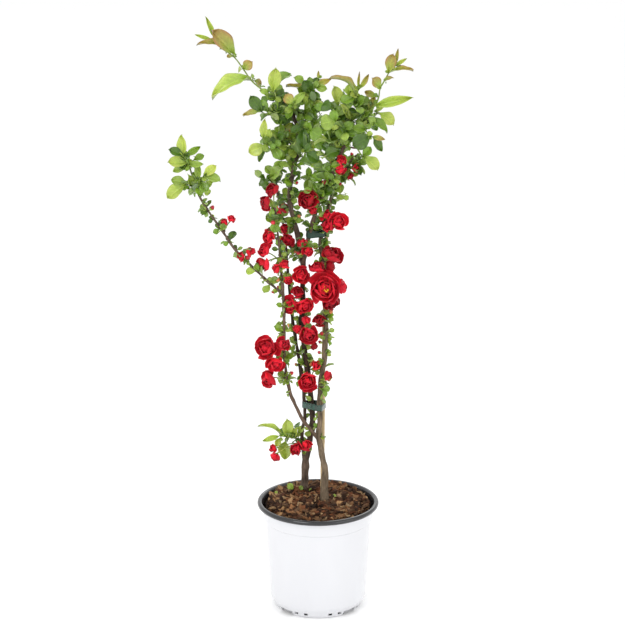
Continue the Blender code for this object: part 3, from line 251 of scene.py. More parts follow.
# Each stem's points, the height from which it leans back, and how far it leans for each millimetre.
STEM_LAYOUT = {
    "left_trunk": (LEFT_TRUNK, 760, 0.24), "left_side": (LEFT_SIDE, 560, 0.14),
    "crossing": (CROSSING, 700, -0.22), "left_twig": (LEFT_TWIG, 760, 0.24),
    "crossing_twig": (CROSSING_TWIG, 700, -0.22), "right_trunk": (RIGHT_TRUNK, 715, 0.15),
    "right_fork": (RIGHT_FORK, 450, -0.10), "long_branch": (LONG_BRANCH, 481, -0.13),
    "stake": (STAKE, 0, 0.0),
}
# The layout was measured in a view from here, so a point is set back along its line of sight.
VIEW_POINT = Vector((-10, -3400, 1520))


def set_back(point, depth):
    """A point in millimetres, moved back by a depth so that it looks the same from the front."""
    point = Vector(point[:3])
    reach = point.y - VIEW_POINT.y
    return VIEW_POINT + (point - VIEW_POINT) * ((reach + depth) / reach)


def lean(stem_name, height):
    """How far a stem lies back at a height, in millimetres."""
    _, start, rate = STEM_LAYOUT[stem_name]
    return max(0.0, height - start) * rate


STEMS = {name: [(*set_back(p, lean(name, p[2])), p[3]) for p in layout[0]]
         for name, layout in STEM_LAYOUT.items()}
CANES = {
    "cane_left": ("left_trunk", "left_side", "crossing", "left_twig", "crossing_twig"),
    "cane_right": ("right_trunk", "right_fork", "long_branch"),
}
# Leaf tufts on each stem: the length at which they start, and the pitch between them, in metres.
TUFT_ROWS = {
    "left_trunk": (0.34, 0.050), "left_side": (0.21, 0.046), "crossing": (0.04, 0.042),
    "right_trunk": (0.33, 0.050), "right_fork": (0.116, 0.050), "long_branch": (0.03, 0.036),
}
TUFT_LEAVES = 3
TIES = {
    "tie_lower": (376, ("left_trunk", "left_side", "right_trunk", "stake")),
    "tie_upper": (694, ("crossing", "right_trunk", "stake")),
}

# Bloom clusters: name, stem that carries it, root on the stem, and blooms as (x, y, z, size, turn to
# the right, turn upwards, form), in millimetres and degrees.
CLUSTERS = [
    ("bloom_big", "right_trunk", (12, 2, 603),
     [(11, -34, 604, 58, 6, 14, "double"), (-2, -20, 636, 25, -30, 70, "five"),
      (39, -14, 602, 25, 75, 20, "five"), (22, -16, 575, 26, 30, -35, "half")]),
    ("bloom_upper_side", "right_trunk", (7, 1, 643),
     [(24, -12, 657, 35, 40, 60, "half"), (23, -8, 638, 21, 70, 10, "bud")]),
    ("bloom_right_high", "right_trunk", (14, 3, 711),
     [(33, -10, 718, 35, 25, 20, "half"), (14, -14, 731, 19, 0, 30, "five"),
      (15, -16, 712, 19, -10, -10, "bud")]),
    ("bloom_dark_high", "crossing", (-10, -10, 743),
     [(-18, -26, 759, 35, -20, 20, "half"), (-9, -26, 741, 14, 20, -10, "bud")]),
    ("bloom_left_high", "right_fork", (-73, -8, 757),
     [(-79, -16, 773, 25, -30, 40, "five"), (-89, -14, 753, 23, -60, -5, "five")]),
    ("bloom_left_pair", "left_side", (-61, 4, 715),
     [(-58, -12, 742, 19, 20, 40, "five"), (-73, -26, 738, 21, -30, -10, "five")]),
    ("bloom_mid_high", "left_side", (-56, 3, 682),
     [(-56, -14, 706, 19, 10, 30, "five"), (-53, -18, 688, 23, 10, -5, "half")]),
    ("bloom_far_left_a", "right_fork", (-67, -10, 689),
     [(-84, -16, 693, 25, -50, 15, "five")]),
    ("bloom_centre_small", "crossing", (-21, -6, 667),
     [(-29, -14, 681, 16, -20, 40, "bud"), (-18, -23, 669, 18, 20, 0, "five")]),
    ("bloom_far_left_b", "right_fork", (-64, -10, 653),
     [(-92, -20, 668, 23, -45, 35, "five"), (-93, -18, 646, 25, -60, -30, "half")]),
    ("bloom_left_mid", "right_fork", (-63, -9, 628),
     [(-75, -24, 638, 16, -35, 0, "bud"), (-59, -26, 648, 16, 0, 40, "bud"),
      (-53, -24, 618, 16, 20, -15, "five")]),
    ("bloom_centre_tall", "left_trunk", (-28, 5, 613),
     [(-30, -18, 624, 28, 0, 15, "half")]),
    ("bloom_centre_trio", "left_trunk", (-29, 6, 569),
     [(-35, -14, 590, 21, -10, 40, "five"), (-49, -20, 571, 26, -40, 0, "half"),
      (-24, -26, 572, 32, 15, -5, "half")]),
    ("bloom_lower_centre", "left_trunk", (-28, 8, 517),
     [(-17, -24, 519, 37, 5, -5, "half"), (-38, -14, 526, 16, -40, 20, "bud"),
      (-20, -18, 544, 16, 10, 60, "bud"), (-6, -16, 493, 14, 40, -40, "bud")]),
    ("bloom_right_dark", "right_trunk", (14, 0, 534),
     [(2, -17, 540, 21, 10, 30, "five")]),
    ("bloom_left_large", "right_fork", (-60, -11, 487),
     [(-91, -30, 494, 40, -25, 15, "double"), (-62, -30, 502, 23, 15, 20, "five"),
      (-75, -30, 467, 32, 0, -15, "half")]),
    ("bloom_left_side", "right_fork", (-56, -13, 434),
     [(-86, -22, 435, 33, -45, -15, "half")]),
    ("bloom_low_centre", "left_trunk", (-15, 12, 415),
     [(-19, -18, 430, 35, 0, 5, "half"), (-4, -14, 457, 18, 20, 45, "five")]),
    ("bloom_low_right", "right_trunk", (5, -6, 430),
     [(18, -18, 439, 16, 50, 10, "bud")]),
    ("bloom_bottom_left", "left_side", (-62, 20, 295),
     [(-80, 8, 294, 16, -50, 20, "five"), (-78, 10, 276, 16, -30, -30, "bud")]),
    ("bloom_bottom_right", "left_trunk", (-21, 31, 279),
     [(-38, 10, 292, 23, -15, 10, "five"), (-20, 10, 300, 18, 20, 30, "bud")]),
    ("bloom_branch_low", "long_branch", (-121, -17, 646),
     [(-116, -22, 670, 16, 20, 60, "bud"), (-132, -30, 659, 16, -40, 20, "five")]),
    ("bloom_branch_high", "long_branch", (-164, -20, 702),
     [(-163, -24, 722, 12, -10, 60, "bud"), (-150, -28, 727, 14, 20, 40, "five")]),
    ("bloom_upper_right", "crossing", (34, -4, 823),
     [(40, -20, 828, 16, 10, 40, "five"), (39, -20, 811, 16, 15, -20, "bud")]),
    ("bloom_far_right", "right_trunk", (48, 16, 810),
     [(64, 6, 809, 16, 50, 10, "five"), (56, 6, 794, 11, 30, -40, "bud")]),
]


def mm(point):
    """A point listed in millimetres, as a vector in metres."""
    return Vector(point[:3]) * MM


def blade_frame(base, tip, facing, roll=0.0):
    """The axes of a blade: along it, across it, and up out of its upper face."""
    along = (tip - base).normalized()
    upper = (facing - along * facing.dot(along)).normalized()
    upper = Matrix.Rotation(roll, 3, along) @ upper
    return along, along.cross(upper), upper


def inner_radius(height):
    """The pot's inside radius at a height on the straight part of its wall."""
    low = POT_CHAMFER_HEIGHT + POT_WALL
    part = (height - low) / (POT_HEIGHT - RIM_HEIGHT - low)
    return (POT_LOWER_RADIUS + (POT_TOP_RADIUS - POT_LOWER_RADIUS) * part) - POT_WALL


def mix_height(radius, angle):
    """The height of the potting mix: mounded, and a little higher at the back."""
    part = radius / inner_radius(MIX_EDGE_HEIGHT)
    return MIX_EDGE_HEIGHT + MIX_MOUND * (1 - part * part) + MIX_TILT * part * math.sin(angle)


def stem_points(stem):
    """A stem's points and radii in metres."""
    return [mm(p) for p in stem], [p[3] * MM for p in stem]


def at_length(stem, length):
    """The point and radius at a length along a stem."""
    points, radii = stem_points(stem)
    for a, b, ra, rb in zip(points, points[1:], radii, radii[1:]):
        step = (b - a).length
        if length <= step:
            part = length / step
            return a.lerp(b, part), ra + (rb - ra) * part
        length -= step
    return points[-1], radii[-1]


def stem_length(stem):
    """The length of a stem's line."""
    points, _ = stem_points(stem)
    return sum((b - a).length for a, b in zip(points, points[1:]))


def tuft_places(name, stem):
    """Where the leaf tufts stand along a stem: about evenly, from where the wood is leafy up."""
    start, pitch = TUFT_ROWS[name]
    end = stem_length(stem) - 0.012
    rng = random.Random(f"{name}-places")
    places = []
    place = start
    while place < end:
        places.append(place + rng.uniform(-0.2, 0.2) * pitch)
        place += pitch
    return places


def tuft_leaves(name, index, centre, along):
    """The leaves of one tuft: direction, length, width and roll of each."""
    rng = random.Random(f"{name}-{index}")
    side = along.orthogonal().normalized()
    turn = rng.uniform(0, 2 * math.pi)
    leaves = []
    for i in range(TUFT_LEAVES):
        angle = turn + i * 2 * math.pi / TUFT_LEAVES + rng.uniform(-0.4, 0.4)
        outward = Matrix.Rotation(angle, 3, along) @ side
        rise = rng.uniform(0.15, 0.75)
        direction = (outward + UP * rise + FRONT * 0.15).normalized()
        length = rng.uniform(*TUFT_LENGTH)
        leaves.append((outward, direction, length, length * rng.uniform(0.5, 0.66), rng.uniform(-0.5, 0.5)))
    return leaves


def shoot_depths(stem_name, spread, route):
    """How far back each point of a shoot lies, in millimetres."""
    start = lean(stem_name, route[0][2])
    return [start + spread * k / (len(route) - 1) for k in range(len(route))]


def at_height(stem, height):
    """The point and radius where a stem passes a height."""
    points, radii = stem_points(stem)
    for a, b, ra, rb in zip(points, points[1:], radii, radii[1:]):
        if a.z <= height <= b.z:
            part = (height - a.z) / (b.z - a.z)
            return a.lerp(b, part), ra + (rb - ra) * part
    return points[-1], radii[-1]


# Extra leafy twigs that close the crown: stem, height, and end, whose second number is a step in depth.
CROWN_TWIGS = (
    ("left_trunk", 815, (2, -8, 866)), ("left_trunk", 845, (6, 10, 902)), ("left_trunk", 785, (2, -6, 803)),
    ("left_trunk", 757, (4, 8, 778)), ("left_trunk", 870, (-4, -10, 925)), ("crossing", 800, (22, -8, 848)),
    ("crossing", 832, (20, 8, 888)), ("crossing", 760, (16, -6, 792)), ("crossing", 785, (12, 6, 815)),
    ("crossing", 855, (26, -8, 922)), ("crossing", 870, (48, 10, 935)), ("left_trunk", 800, (-62, 6, 838)),
    ("crossing", 845, (14, -6, 868)), ("left_trunk", 852, (14, 6, 884)), ("crossing", 868, (18, 4, 905)),
)
# Leaves that are young and bronze, and those that are light, by shoot and place in its list.
YOUNG_LEAVES = {
    "shoot_top_left": (5, 6), "shoot_left_top": (1,), "shoot_bronze_upright": (1,),
    "shoot_middle_top": (1, 3, 4), "shoot_arched_top": (0, 2, 3), "shoot_right_top": (0, 1, 3),
    "shoot_right_mid": (1,),
}
LIGHT_LEAVES = {
    "shoot_top_left": (0, 7, 8, 2), "shoot_upright_pair": (0,), "shoot_left_mid": (0, 1),
    "shoot_middle_top": (6,), "shoot_light_upright": (0, 2), "shoot_right_round": (0, 1),
    "shoot_right_top": (7, 2), "shoot_right_low": (0,), "shoot_branch_tip": (0, 2),
    "shoot_branch_right": (0,), "shoot_branch_left": (0,), "shoot_lower_left": (0, 1, 2, 3, 4, 5),
}
BARE_SHOOTS = ("shoot_top_left", "shoot_right_top")
# Stems of tan bark, and stems that darken and pale again over these heights.
TAN_STEMS = ("right_trunk",)
DARK_STEMS = ("left_trunk", "left_side")
DARK_SPAN = (0.26, 0.36, 0.60, 0.74)
# Points along a stem's bark, how far they wander, and how the bark swells at every third one.
BARK_PITCH = 0.014
BARK_WANDER = 0.12
BARK_SWELL = (0.9, 1.08)
KNOT_SWELL = 1.12
WAIST_SWELL = 0.96
ROOT_SWELL = 1.25
BARK_DEPTH = 0.0011
BARK_GRAIN = (170, 170, 60)

# Heights from which the foliage is dense, dark, has twigs and thins out, and from which a stem has leaves
# and buds lower down.
DENSE_FROM = 0.66
DARK_FROM = 0.62
TWIGS_FROM = 0.74
CROWN_FROM = 0.80
LEAFY_FROM = 0.40
BUDS_FROM = 0.42
SPARSE_STEM = "long_branch"
# Steps between the spurs of a dense stem and of another, and lengths of the leaves on them.
DENSE_PITCH = (0.012, 0.018)
OPEN_PITCH = (0.013, 0.021)
DENSE_LEAVES = (0.012, 0.019)
OPEN_LEAVES = (0.008, 0.0145)
SMALL_BUDS = (0.0045, 0.0085)
# How often a dense spur has two tufts, and how often a spur has a twig, low leaves and a bud.
PAIR_CHANCE = 0.45
TWIG_CHANCE = 0.5
LOW_LEAF_CHANCE = 0.5
BUD_CHANCE = 0.4
# Where a leaf's foot sits, as a part of the stem's radius, the share of leaves that face the front, and
# how far a twig or tuft may point to the front or back.
LEAF_SEAT = 0.85
FRONT_SHARE = 0.68
SIDEWAYS = 0.75
# Lengths of the small leaves near the foot of a shoot and farther out.
FOOT_LEAF = 0.018
OUTER_LEAF = 0.010
# The turn from one leaf or stamen to the next, in radians, and lengths that call for a finer leaf.
LEAF_TURN = 2.4
MIDDLE_LEAF_FROM = 0.016
TWIG_LEAF_SIZES = (0.014, 0.021)

# Petals of each form of bloom, set on a spiral: their number, then length, rise in degrees, width and
# bowl of the outermost and of the innermost. Sizes are parts of the bloom's.
SPIRALS = {
    "double": (26, (0.51, 0.19), (8, 80), (0.60, 0.26), (0.20, 0.30)),
    "half": (18, (0.50, 0.22), (18, 78), (0.60, 0.28), (0.24, 0.30)),
    "five": (12, (0.49, 0.28), (30, 76), (0.60, 0.34), (0.26, 0.30)),
    "cup": (11, (0.54, 0.36), (56, 84), (0.64, 0.42), (0.30, 0.28)),
}
GOLDEN_TURN = 2.39996
# How far petals stray from the spiral: turn, tilt in degrees, length, width, roll, curl and shade.
PETAL_TURN = 0.15
PETAL_TILTS = (-13, 11)
PETAL_LENGTHS = (0.86, 1.05)
PETAL_WIDTHS = (0.88, 1.1)
PETAL_ROLL = 0.5
PETAL_CURLS = (-0.30, 0.06)
PETAL_SHADES = 0.24
# How much lighter a petal's tip and rims are painted: a painted highlight.
PETAL_RIM_HIGHLIGHT = 1.15
# Sepals behind a bloom, and stamens in it: length and number in an open one, and in the others.
SEPALS = 5
SEPAL_LENGTH = 0.26
SEPAL_WIDTH = 0.17
STAMENS = 15
STAMEN_LENGTHS = (0.13, 0.21)
FEW_STAMENS = 3
SHORT_STAMEN = 0.11
# Blooms from this size have the finer petals, and from the next they show a tuft of stamens.
BIG_BLOOM = 0.030
OPEN_BLOOM = 0.060
# A closed bud: its petals, how much longer than wide it is, and how far round it all its petals and all
# its sepals reach, in degrees.
BUD_PETALS = 3
BUD_STRETCH = 1.22
BUD_PETAL_REACH = 250
BUD_SEPAL_REACH = 210
DARK_BLOOMS = ("bloom_dark_high", "bloom_right_dark", "bloom_left_high", "bloom_upper_side")
# How much larger than listed a bloom is, by its listed size.
BLOOM_GROWTH = ((30, 1.46), (50, 1.28), (math.inf, 1.2))

# Patterns on the blades: side veins up a leaf and their slant, and lines across a petal, in radians.
LEAF_VEINS = 46.0
LEAF_VEIN_SLANT = 30.0
PETAL_LINES = 95.0

# Distances within which points of a blade, and of any other piece, are merged.
BLADE_WELD = 0.0005
WELD = 0.00001

# The studio: strength of the white surroundings, lamps as name, place, size and power, what they point
# at, and the camera's lens and its tilt down in degrees.
WORLD_LEVEL = 1.04
LAMPS = (
    ("key_light", (-1.6, -2.2, 2.3), 1.4, 31.0),
    ("fill_light", (2.2, -1.8, 1.2), 2.0, 13.0),
    ("back_light", (0.4, 2.2, 2.2), 1.6, 15.0),
)
LAMP_TARGET = Vector((0, 0, 0.6))
FLOOR_SIZE = 60
FLOOR_PAINT = (0.96, 0.96, 0.96, 1)
CAMERA_LENS = 115.3
CAMERA_TILT = 15.9


def pick(*pieces):
    """Selects these pieces only, the first one active."""
    bpy.ops.object.select_all(action="DESELECT")
    for piece in pieces:
        piece.select_set(True)
    bpy.context.view_layer.objects.active = pieces[0]


def apply_modifiers(piece):
    """Applies a piece's modifiers, in order."""
    pick(piece)
    for modifier in list(piece.modifiers):
        bpy.ops.object.modifier_apply(modifier=modifier.name)


def joined(name, parts):
    """One piece from many, with their materials and tints."""
    pick(*parts)
    if len(parts) > 1:
        bpy.ops.object.join()
    piece = bpy.context.object
    piece.name = name
    piece.data.name = name
    return piece


def linked(name, mesh):
    """A new object in the scene for a mesh, curve, lamp or camera."""
    piece = bpy.data.objects.new(name, mesh)
    bpy.context.scene.collection.objects.link(piece)
    return piece


def tinted(mesh, colours):
    """Writes a colour for each point, or one for all, into the mesh's tint."""
    layer = mesh.color_attributes.get("tint") or mesh.color_attributes.new("tint", "FLOAT_COLOR", "POINT")
    values = np.ones((len(mesh.vertices), 4), dtype=np.float32)
    values[:, :3] = colours
    layer.data.foreach_set("color", values.ravel())


def points_of(mesh):
    """A mesh's points as rows of an array."""
    values = np.empty(len(mesh.vertices) * 3, dtype=np.float32)
    mesh.vertices.foreach_get("co", values)
    return values.reshape(-1, 3)


def set_points(mesh, values):
    """Writes rows of an array back as a mesh's points."""
    mesh.vertices.foreach_set("co", np.ascontiguousarray(values, dtype=np.float32).ravel())
    mesh.update()


def varied(rng, colour, amount=0.18):
    """A colour a little lighter or darker, and a little warmer or cooler."""
    level = 1 + rng.uniform(-amount, amount)
    warm = rng.uniform(-amount, amount) * 0.4
    return (colour[0] * (level + warm), colour[1] * level, colour[2] * (level - warm))


def socket(shader, name, value):
    """Sets one input of a shader."""
    shader.inputs[name].default_value = value


def wired(tree, kind, inputs):
    """A new node with its inputs set, each to a value or to another node's output."""
    step = tree.nodes.new("ShaderNode" + kind)
    for name, value in inputs.items():
        if isinstance(value, bpy.types.NodeSocket):
            tree.links.new(value, step.inputs[name])
        else:
            step.inputs[name].default_value = value
    return step


def ramp(tree, value, start, end, low, high, how="SMOOTHSTEP"):
    """Maps a value from the span start to end onto low to high."""
    step = wired(tree, "MapRange", {"Value": value, "From Min": start, "From Max": end,
                                    "To Min": low, "To Max": high})
    step.interpolation_type = how
    return step.outputs["Result"]


def noise_factor(tree, coordinate, scale, detail, low, high):
    """A noise pattern mapped to run from a low to a high value."""
    pattern = wired(tree, "TexNoise", {"Vector": coordinate, "Scale": scale, "Detail": detail})
    return ramp(tree, pattern.outputs["Fac"], 0.3, 0.7, low, high, "LINEAR")


def maths(tree, operation, first, second=None):
    """A math node on one or two inputs, each a socket or a number."""
    step = wired(tree, "Math", {0: first} if second is None else {0: first, 1: second})
    step.operation = operation
    return step.outputs["Value"]


def stretched(tree, scale):
    """Object coordinates, stretched by a Mapping node."""
    place = tree.nodes.new("ShaderNodeTexCoord")
    return wired(tree, "Mapping", {"Vector": place.outputs["Object"], "Scale": scale}).outputs["Vector"]


def shaded(name, roughness, colour=None):
    """A new material: its tree, its shader, and its colour source, plain or from the tint."""
    made = bpy.data.materials.new(name)
    made.use_nodes = True
    tree = made.node_tree
    shader = tree.nodes["Principled BSDF"]
    socket(shader, "Roughness", roughness)
    if colour:
        source = tree.nodes.new("ShaderNodeRGB")
        source.outputs[0].default_value = (*colour, 1)
        return made, tree, shader, source.outputs[0]
    source = tree.nodes.new("ShaderNodeAttribute")
    source.attribute_name = "tint"
    return made, tree, shader, source.outputs["Color"]


def coloured(tree, shader, colour, factor):
    """Multiplies a colour by a factor and feeds the shader's base colour."""
    scale = tree.nodes.new("ShaderNodeVectorMath")
    scale.operation = "SCALE"
    tree.links.new(colour, scale.inputs[0])
    tree.links.new(factor, scale.inputs["Scale"])
    tree.links.new(scale.outputs[0], shader.inputs["Base Color"])


def bumped(tree, shader, height, distance, strength=1.0):
    """Gives the shader relief from a height."""
    bump = wired(tree, "Bump", {"Height": height, "Distance": distance, "Strength": strength})
    tree.links.new(bump.outputs["Normal"], shader.inputs["Normal"])


def grained(name, roughness, scale, stretch, low, high, distance, colour=None, coat=0.0, shine=0.3):
    """A material with mottled colour and matching relief."""
    made, tree, shader, source = shaded(name, roughness, colour)
    place = stretched(tree, stretch)
    coarse = noise_factor(tree, place, scale, 6.0, low, high)
    fine = noise_factor(tree, place, scale * 4.3, 8.0, 0.8, 1.15)
    both = maths(tree, "MULTIPLY", coarse, fine)
    coloured(tree, shader, source, both)
    bumped(tree, shader, both, distance)
    socket(shader, "Specular IOR Level", shine)
    socket(shader, "Coat Weight", coat)
    return made


def blade_places(tree):
    """The place across a blade and the place along it, from its UV map."""
    place = tree.nodes.new("ShaderNodeUVMap")
    split = wired(tree, "SeparateXYZ", {"Vector": place.outputs["UV"]})
    return split.outputs["X"], split.outputs["Y"]


def thin_skin(shader, shine, weight, radius):
    """Gives a blade its shine, and the light that passes through it."""
    for name, value in (("Specular IOR Level", shine), ("Subsurface Weight", weight),
                        ("Subsurface Radius", radius), ("Subsurface Scale", 1.0)):
        socket(shader, name, value)


def leaf_material():
    """A leaf: paler midrib and side veins, a waxy gloss and soft light through it."""
    made, tree, shader, source = shaded("quince_leaf", 0.3)
    across, along = blade_places(tree)
    aside = maths(tree, "ABSOLUTE", maths(tree, "SUBTRACT", across, 0.5))
    midrib = ramp(tree, aside, 0.012, 0.045, 1.0, 0.0)
    slant = maths(tree, "SUBTRACT", maths(tree, "MULTIPLY", along, LEAF_VEINS),
                  maths(tree, "MULTIPLY", aside, LEAF_VEIN_SLANT))
    veins = ramp(tree, maths(tree, "SINE", slant), 0.72, 1.0, 0.0, 0.4)
    lines = maths(tree, "MAXIMUM", midrib, veins)
    mottle = noise_factor(tree, stretched(tree, (1, 1, 1)), 210.0, 4.0, 0.86, 1.14)
    pale = maths(tree, "ADD", mottle, maths(tree, "MULTIPLY", lines, 0.3))
    coloured(tree, shader, source, pale)
    bumped(tree, shader, maths(tree, "SUBTRACT", mottle, lines), 0.00025, 0.8)
    thin_skin(shader, 0.5, 0.12, (0.002, 0.003, 0.0006))
    return made


def petal_material():
    """A petal: satin, with painted shade that darkens it towards its claw, and faint lines along it."""
    made, tree, shader, source = shaded("quince_petal", 0.46)
    across, along = blade_places(tree)
    # Painted shade: the petal darkens towards its claw, as in the crevices deep in a bloom.
    claw = ramp(tree, along, 0.05, 0.6, 0.42, 1.0)
    waves = maths(tree, "SINE", maths(tree, "MULTIPLY", across, PETAL_LINES))
    lines = ramp(tree, waves, -1.0, 1.0, 0.93, 1.05)
    mottle = noise_factor(tree, stretched(tree, (1, 1, 1)), 130.0, 3.0, 0.86, 1.1)
    coloured(tree, shader, source, maths(tree, "MULTIPLY", maths(tree, "MULTIPLY", claw, lines), mottle))
    bumped(tree, shader, maths(tree, "ADD", lines, mottle), 0.0003, 0.6)
    thin_skin(shader, 0.15, 0.1, (0.004, 0.0006, 0.0006))
    socket(shader, "Sheen Weight", 0.08)
    return made


def pot_wall_material():
    """White glossy pot plastic with a faint waviness and a faint haze all over."""
    made, tree, shader, source = shaded("pot_white", 0.24, (0.69, 0.695, 0.72))
    place = stretched(tree, (1, 1, 0.4))
    haze = noise_factor(tree, place, 14.0, 3.0, 0.965, 1.0)
    coloured(tree, shader, source, haze)
    bumped(tree, shader, noise_factor(tree, place, 9.0, 1.0, 0.0, 1.0), 0.0006, 0.35)
    socket(shader, "Coat Weight", 0.3)
    return made


MATERIALS = {
    "leaf": leaf_material(),
    "petal": petal_material(),
    "pot_wall": pot_wall_material(),
    "pot_black": grained("pot_black", 0.24, 40.0, (1, 1, 1), 0.85, 1.2, 0.0001,
                         (0.012, 0.012, 0.014), 0.35, 0.5),
    "soil": grained("mix_soil", 0.95, 160.0, (1, 1, 1), 0.5, 1.3, 0.0012,
                    (0.030, 0.016, 0.010), 0.0, 0.1),
    "chip": grained("bark_chip", 0.88, 190.0, (1, 1, 3), 0.6, 1.35, 0.0008, None, 0.0, 0.12),
    "bark": grained("cane_bark_grain", 0.8, 120.0, (1.6, 1.6, 0.35), 0.45, 1.6, 0.0009,
                    None, 0.0, 0.15),
    "stalk": grained("stalk_skin", 0.5, 160.0, (1, 1, 0.6), 0.8, 1.2, 0.0002),
    "bamboo": grained("bamboo_skin", 0.5, 90.0, (2.2, 2.2, 0.16), 0.72, 1.22, 0.0003,
                      (0.56, 0.42, 0.23)),
    # The lower tape's colour runs in vertical streaks up to 2.2 times its base: painted glints.
    "tie_lower": grained("tape_green_painted_glints", 0.12, 110.0, (1, 1, 0.2), 0.4, 2.2, 0.0008,
                         (0.010, 0.042, 0.028), 0.5, 0.5),
    "tie_upper": grained("tape_dark_green", 0.3, 70.0, (1, 1, 1), 0.8, 1.2, 0.0006,
                         (0.006, 0.036, 0.020), 0.2),
    "bud": grained("bud_skin", 0.42, 120.0, (1, 1, 1), 0.85, 1.15, 0.0002),
    "stamen": grained("stamen_dust", 0.6, 300.0, (1, 1, 1), 0.9, 1.1, 0.0001),
}


def merged(distance, outward=True):
    """Merges doubled points of the active mesh, and turns its faces outwards."""
    bpy.ops.object.mode_set(mode="EDIT")
    bpy.ops.mesh.select_all(action="SELECT")
    bpy.ops.mesh.remove_doubles(threshold=distance)
    if outward:
        bpy.ops.mesh.normals_make_consistent(inside=False)
    bpy.ops.object.mode_set(mode="OBJECT")


def finished(piece, finish, tint=(1, 1, 1)):
    """Gives a piece one material and one tint."""
    piece.data.materials.clear()
    piece.data.materials.append(MATERIALS[finish])
    tinted(piece.data, tint)


def blade_model(name, columns, rows, outline, relief, wall, finish):
    """A grid shaped into a unit blade: Y runs 0 to 1 along it, X -0.5 to 0.5 across its widest part."""
    bpy.ops.mesh.primitive_grid_add(x_subdivisions=columns, y_subdivisions=rows, size=1.0, calc_uvs=True)
    blade = bpy.context.object
    values = points_of(blade.data)
    for index, (x, y, _) in enumerate(values):
        across, along = 2 * x, y + 0.5
        values[index] = (across * outline(along), along, relief(across, along))
    set_points(blade.data, values)
    merged(BLADE_WELD, outward=False)
    skin = blade.modifiers.new("skin", "SOLIDIFY")
    skin.thickness = wall
    skin.offset = 0.0
    apply_modifiers(blade)
    bpy.ops.object.shade_smooth()
    finished(blade, finish)
    blade.name = name
    return blade


def pointed_outline(along):
    """An elliptic leaf with a short stalk, fine teeth and a drawn-out tip."""
    if along < 0.1:
        return 0.022
    part = (along - 0.1) / 0.9
    body = math.sin(math.pi * part ** 0.85) ** 0.8 * 0.5
    return max(0.0, body + 0.012 * math.sin(part * 60) * (1 - part)) if part < 0.999 else 0.0


def round_outline(along):
    """A spoon-shaped leaf: a narrow stalk that widens to a blunt, round end."""
    if along < 0.12:
        return 0.03
    part = (along - 0.12) / 0.88
    return 0.5 * math.sin(math.pi * min(1.0, part ** 1.25)) ** 0.62 if part < 0.999 else 0.0


def petal_outline(along):
    """A petal: a narrow claw and a broad, round blade."""
    part = min(1.0, along)
    if part >= 0.999:
        return 0.0
    return 0.5 * max(0.16 * (1 - part), math.sin(math.pi * part ** 1.45) ** 0.55)


def leaf_relief(across, along):
    """Folded up along the midrib, with a ripple along the edge."""
    return 0.19 * abs(across) - 0.05 * across * across + 0.022 * math.sin(along * 15) * across * across


def petal_relief(across, along):
    """Cupped, with a soft ruffle near the round end."""
    return 0.17 * across * across + 0.035 * math.sin(across * 5 + along * 3) * along ** 4


def placed(model, base, tip, width, facing, roll=0.0, bow=0.08, tint=MID_GREEN, end_tint=None,
           curl=0.0, under=None):
    """A copy of a blade, set from its base to its tip, bowed along its length and tinted."""
    along, across, upper = (np.array(axis) for axis in blade_frame(base, tip, facing, roll))
    length = (tip - base).length
    mesh = model.data.copy()
    normals = np.empty(len(mesh.vertices) * 3, dtype=np.float32)
    mesh.vertices.foreach_get("normal", normals)
    values = points_of(mesh)
    t = values[:, 1]
    lift = bow * length * 4 * t * (1 - t) + values[:, 2] * length - curl * length * t ** 3
    spots = np.array(base) + np.outer(t * length, along) + np.outer(values[:, 0] * width, across)
    set_points(mesh, spots + np.outer(lift, upper))
    near = np.array(tint)
    far = np.array(end_tint if end_tint else tint)
    # Towards the tip and edges the colour mixes into the end tint; on petals that end tint is a painted
    # highlight.
    edge = np.clip(np.clip(t, 0, 1) ** 1.5 * 0.8 + (np.abs(values[:, 0]) * 2) ** 4 * 0.6, 0, 1)[:, None]
    colours = near * (1 - edge) + far * edge
    if under:
        below = (normals.reshape(-1, 3)[:, 2] < -0.2)[:, None]
        colours = np.where(below, colours * 0.55 + np.array(under) * 0.45, colours)
    tinted(mesh, colours)
    return linked("blade", mesh)


def wrapped(model, centre, axis, radius, turn, spread, layer, tint, span=(0.04, 0.94), finish="petal"):
    """A copy of a petal, wrapped round a bud over a span of its height."""
    side = axis.orthogonal().normalized()
    frame_axes = np.array([side, axis.cross(side), axis])
    mesh = model.data.copy()
    mesh.materials[0] = MATERIALS[finish]
    values = points_of(mesh)
    polar = math.pi * (span[0] + (span[1] - span[0]) * values[:, 1])
    around = turn + values[:, 0] * 2 * spread
    reach = radius * (1 + layer) + values[:, 2] * radius * 0.25
    taper = np.where(polar > math.pi / 2, 1 - 0.22 * (polar / math.pi * 2 - 1), 1.0)
    ring = np.sin(polar) * reach * taper
    height = -np.cos(polar) * reach * BUD_STRETCH
    local = np.stack([ring * np.cos(around), ring * np.sin(around), height], axis=1)
    set_points(mesh, np.array(centre) + local @ frame_axes)
    tinted(mesh, tint)
    return linked("wrap", mesh)


def limb(points, radii, finish, tint, sides=3, steps=5, rough=0.0):
    """A smooth round stem through points, with a radius at each and roughened bark."""
    curve = bpy.data.curves.new("limb", "CURVE")
    curve.dimensions = "3D"
    curve.bevel_depth = 1.0
    curve.bevel_resolution = sides
    curve.resolution_u = steps
    curve.use_fill_caps = True
    spline = curve.splines.new("BEZIER")
    spline.bezier_points.add(len(points) - 1)
    for knot, point, radius in zip(spline.bezier_points, points, radii):
        knot.co = point
        knot.radius = radius
        knot.handle_left_type = "AUTO"
        knot.handle_right_type = "AUTO"
    piece = linked("limb", curve)
    pick(piece)
    bpy.ops.object.convert(target="MESH")
    piece = bpy.context.object
    merged(WELD)
    if rough:
        for vert in piece.data.vertices:
            spot = Vector(scale * at for scale, at in zip(BARK_GRAIN, vert.co))
            vert.co += vert.normal * rough * noise.noise(spot)
    bpy.ops.object.shade_smooth()
    finished(piece, finish, tint)
    return piece


def hand_over(piece, slot, *nodes):
    """Makes a finished piece stand for its nodes: hangs it on the root body and hides them. The slot is not
    used.
    """
    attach(piece, "root")
    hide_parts(*nodes)
    return piece


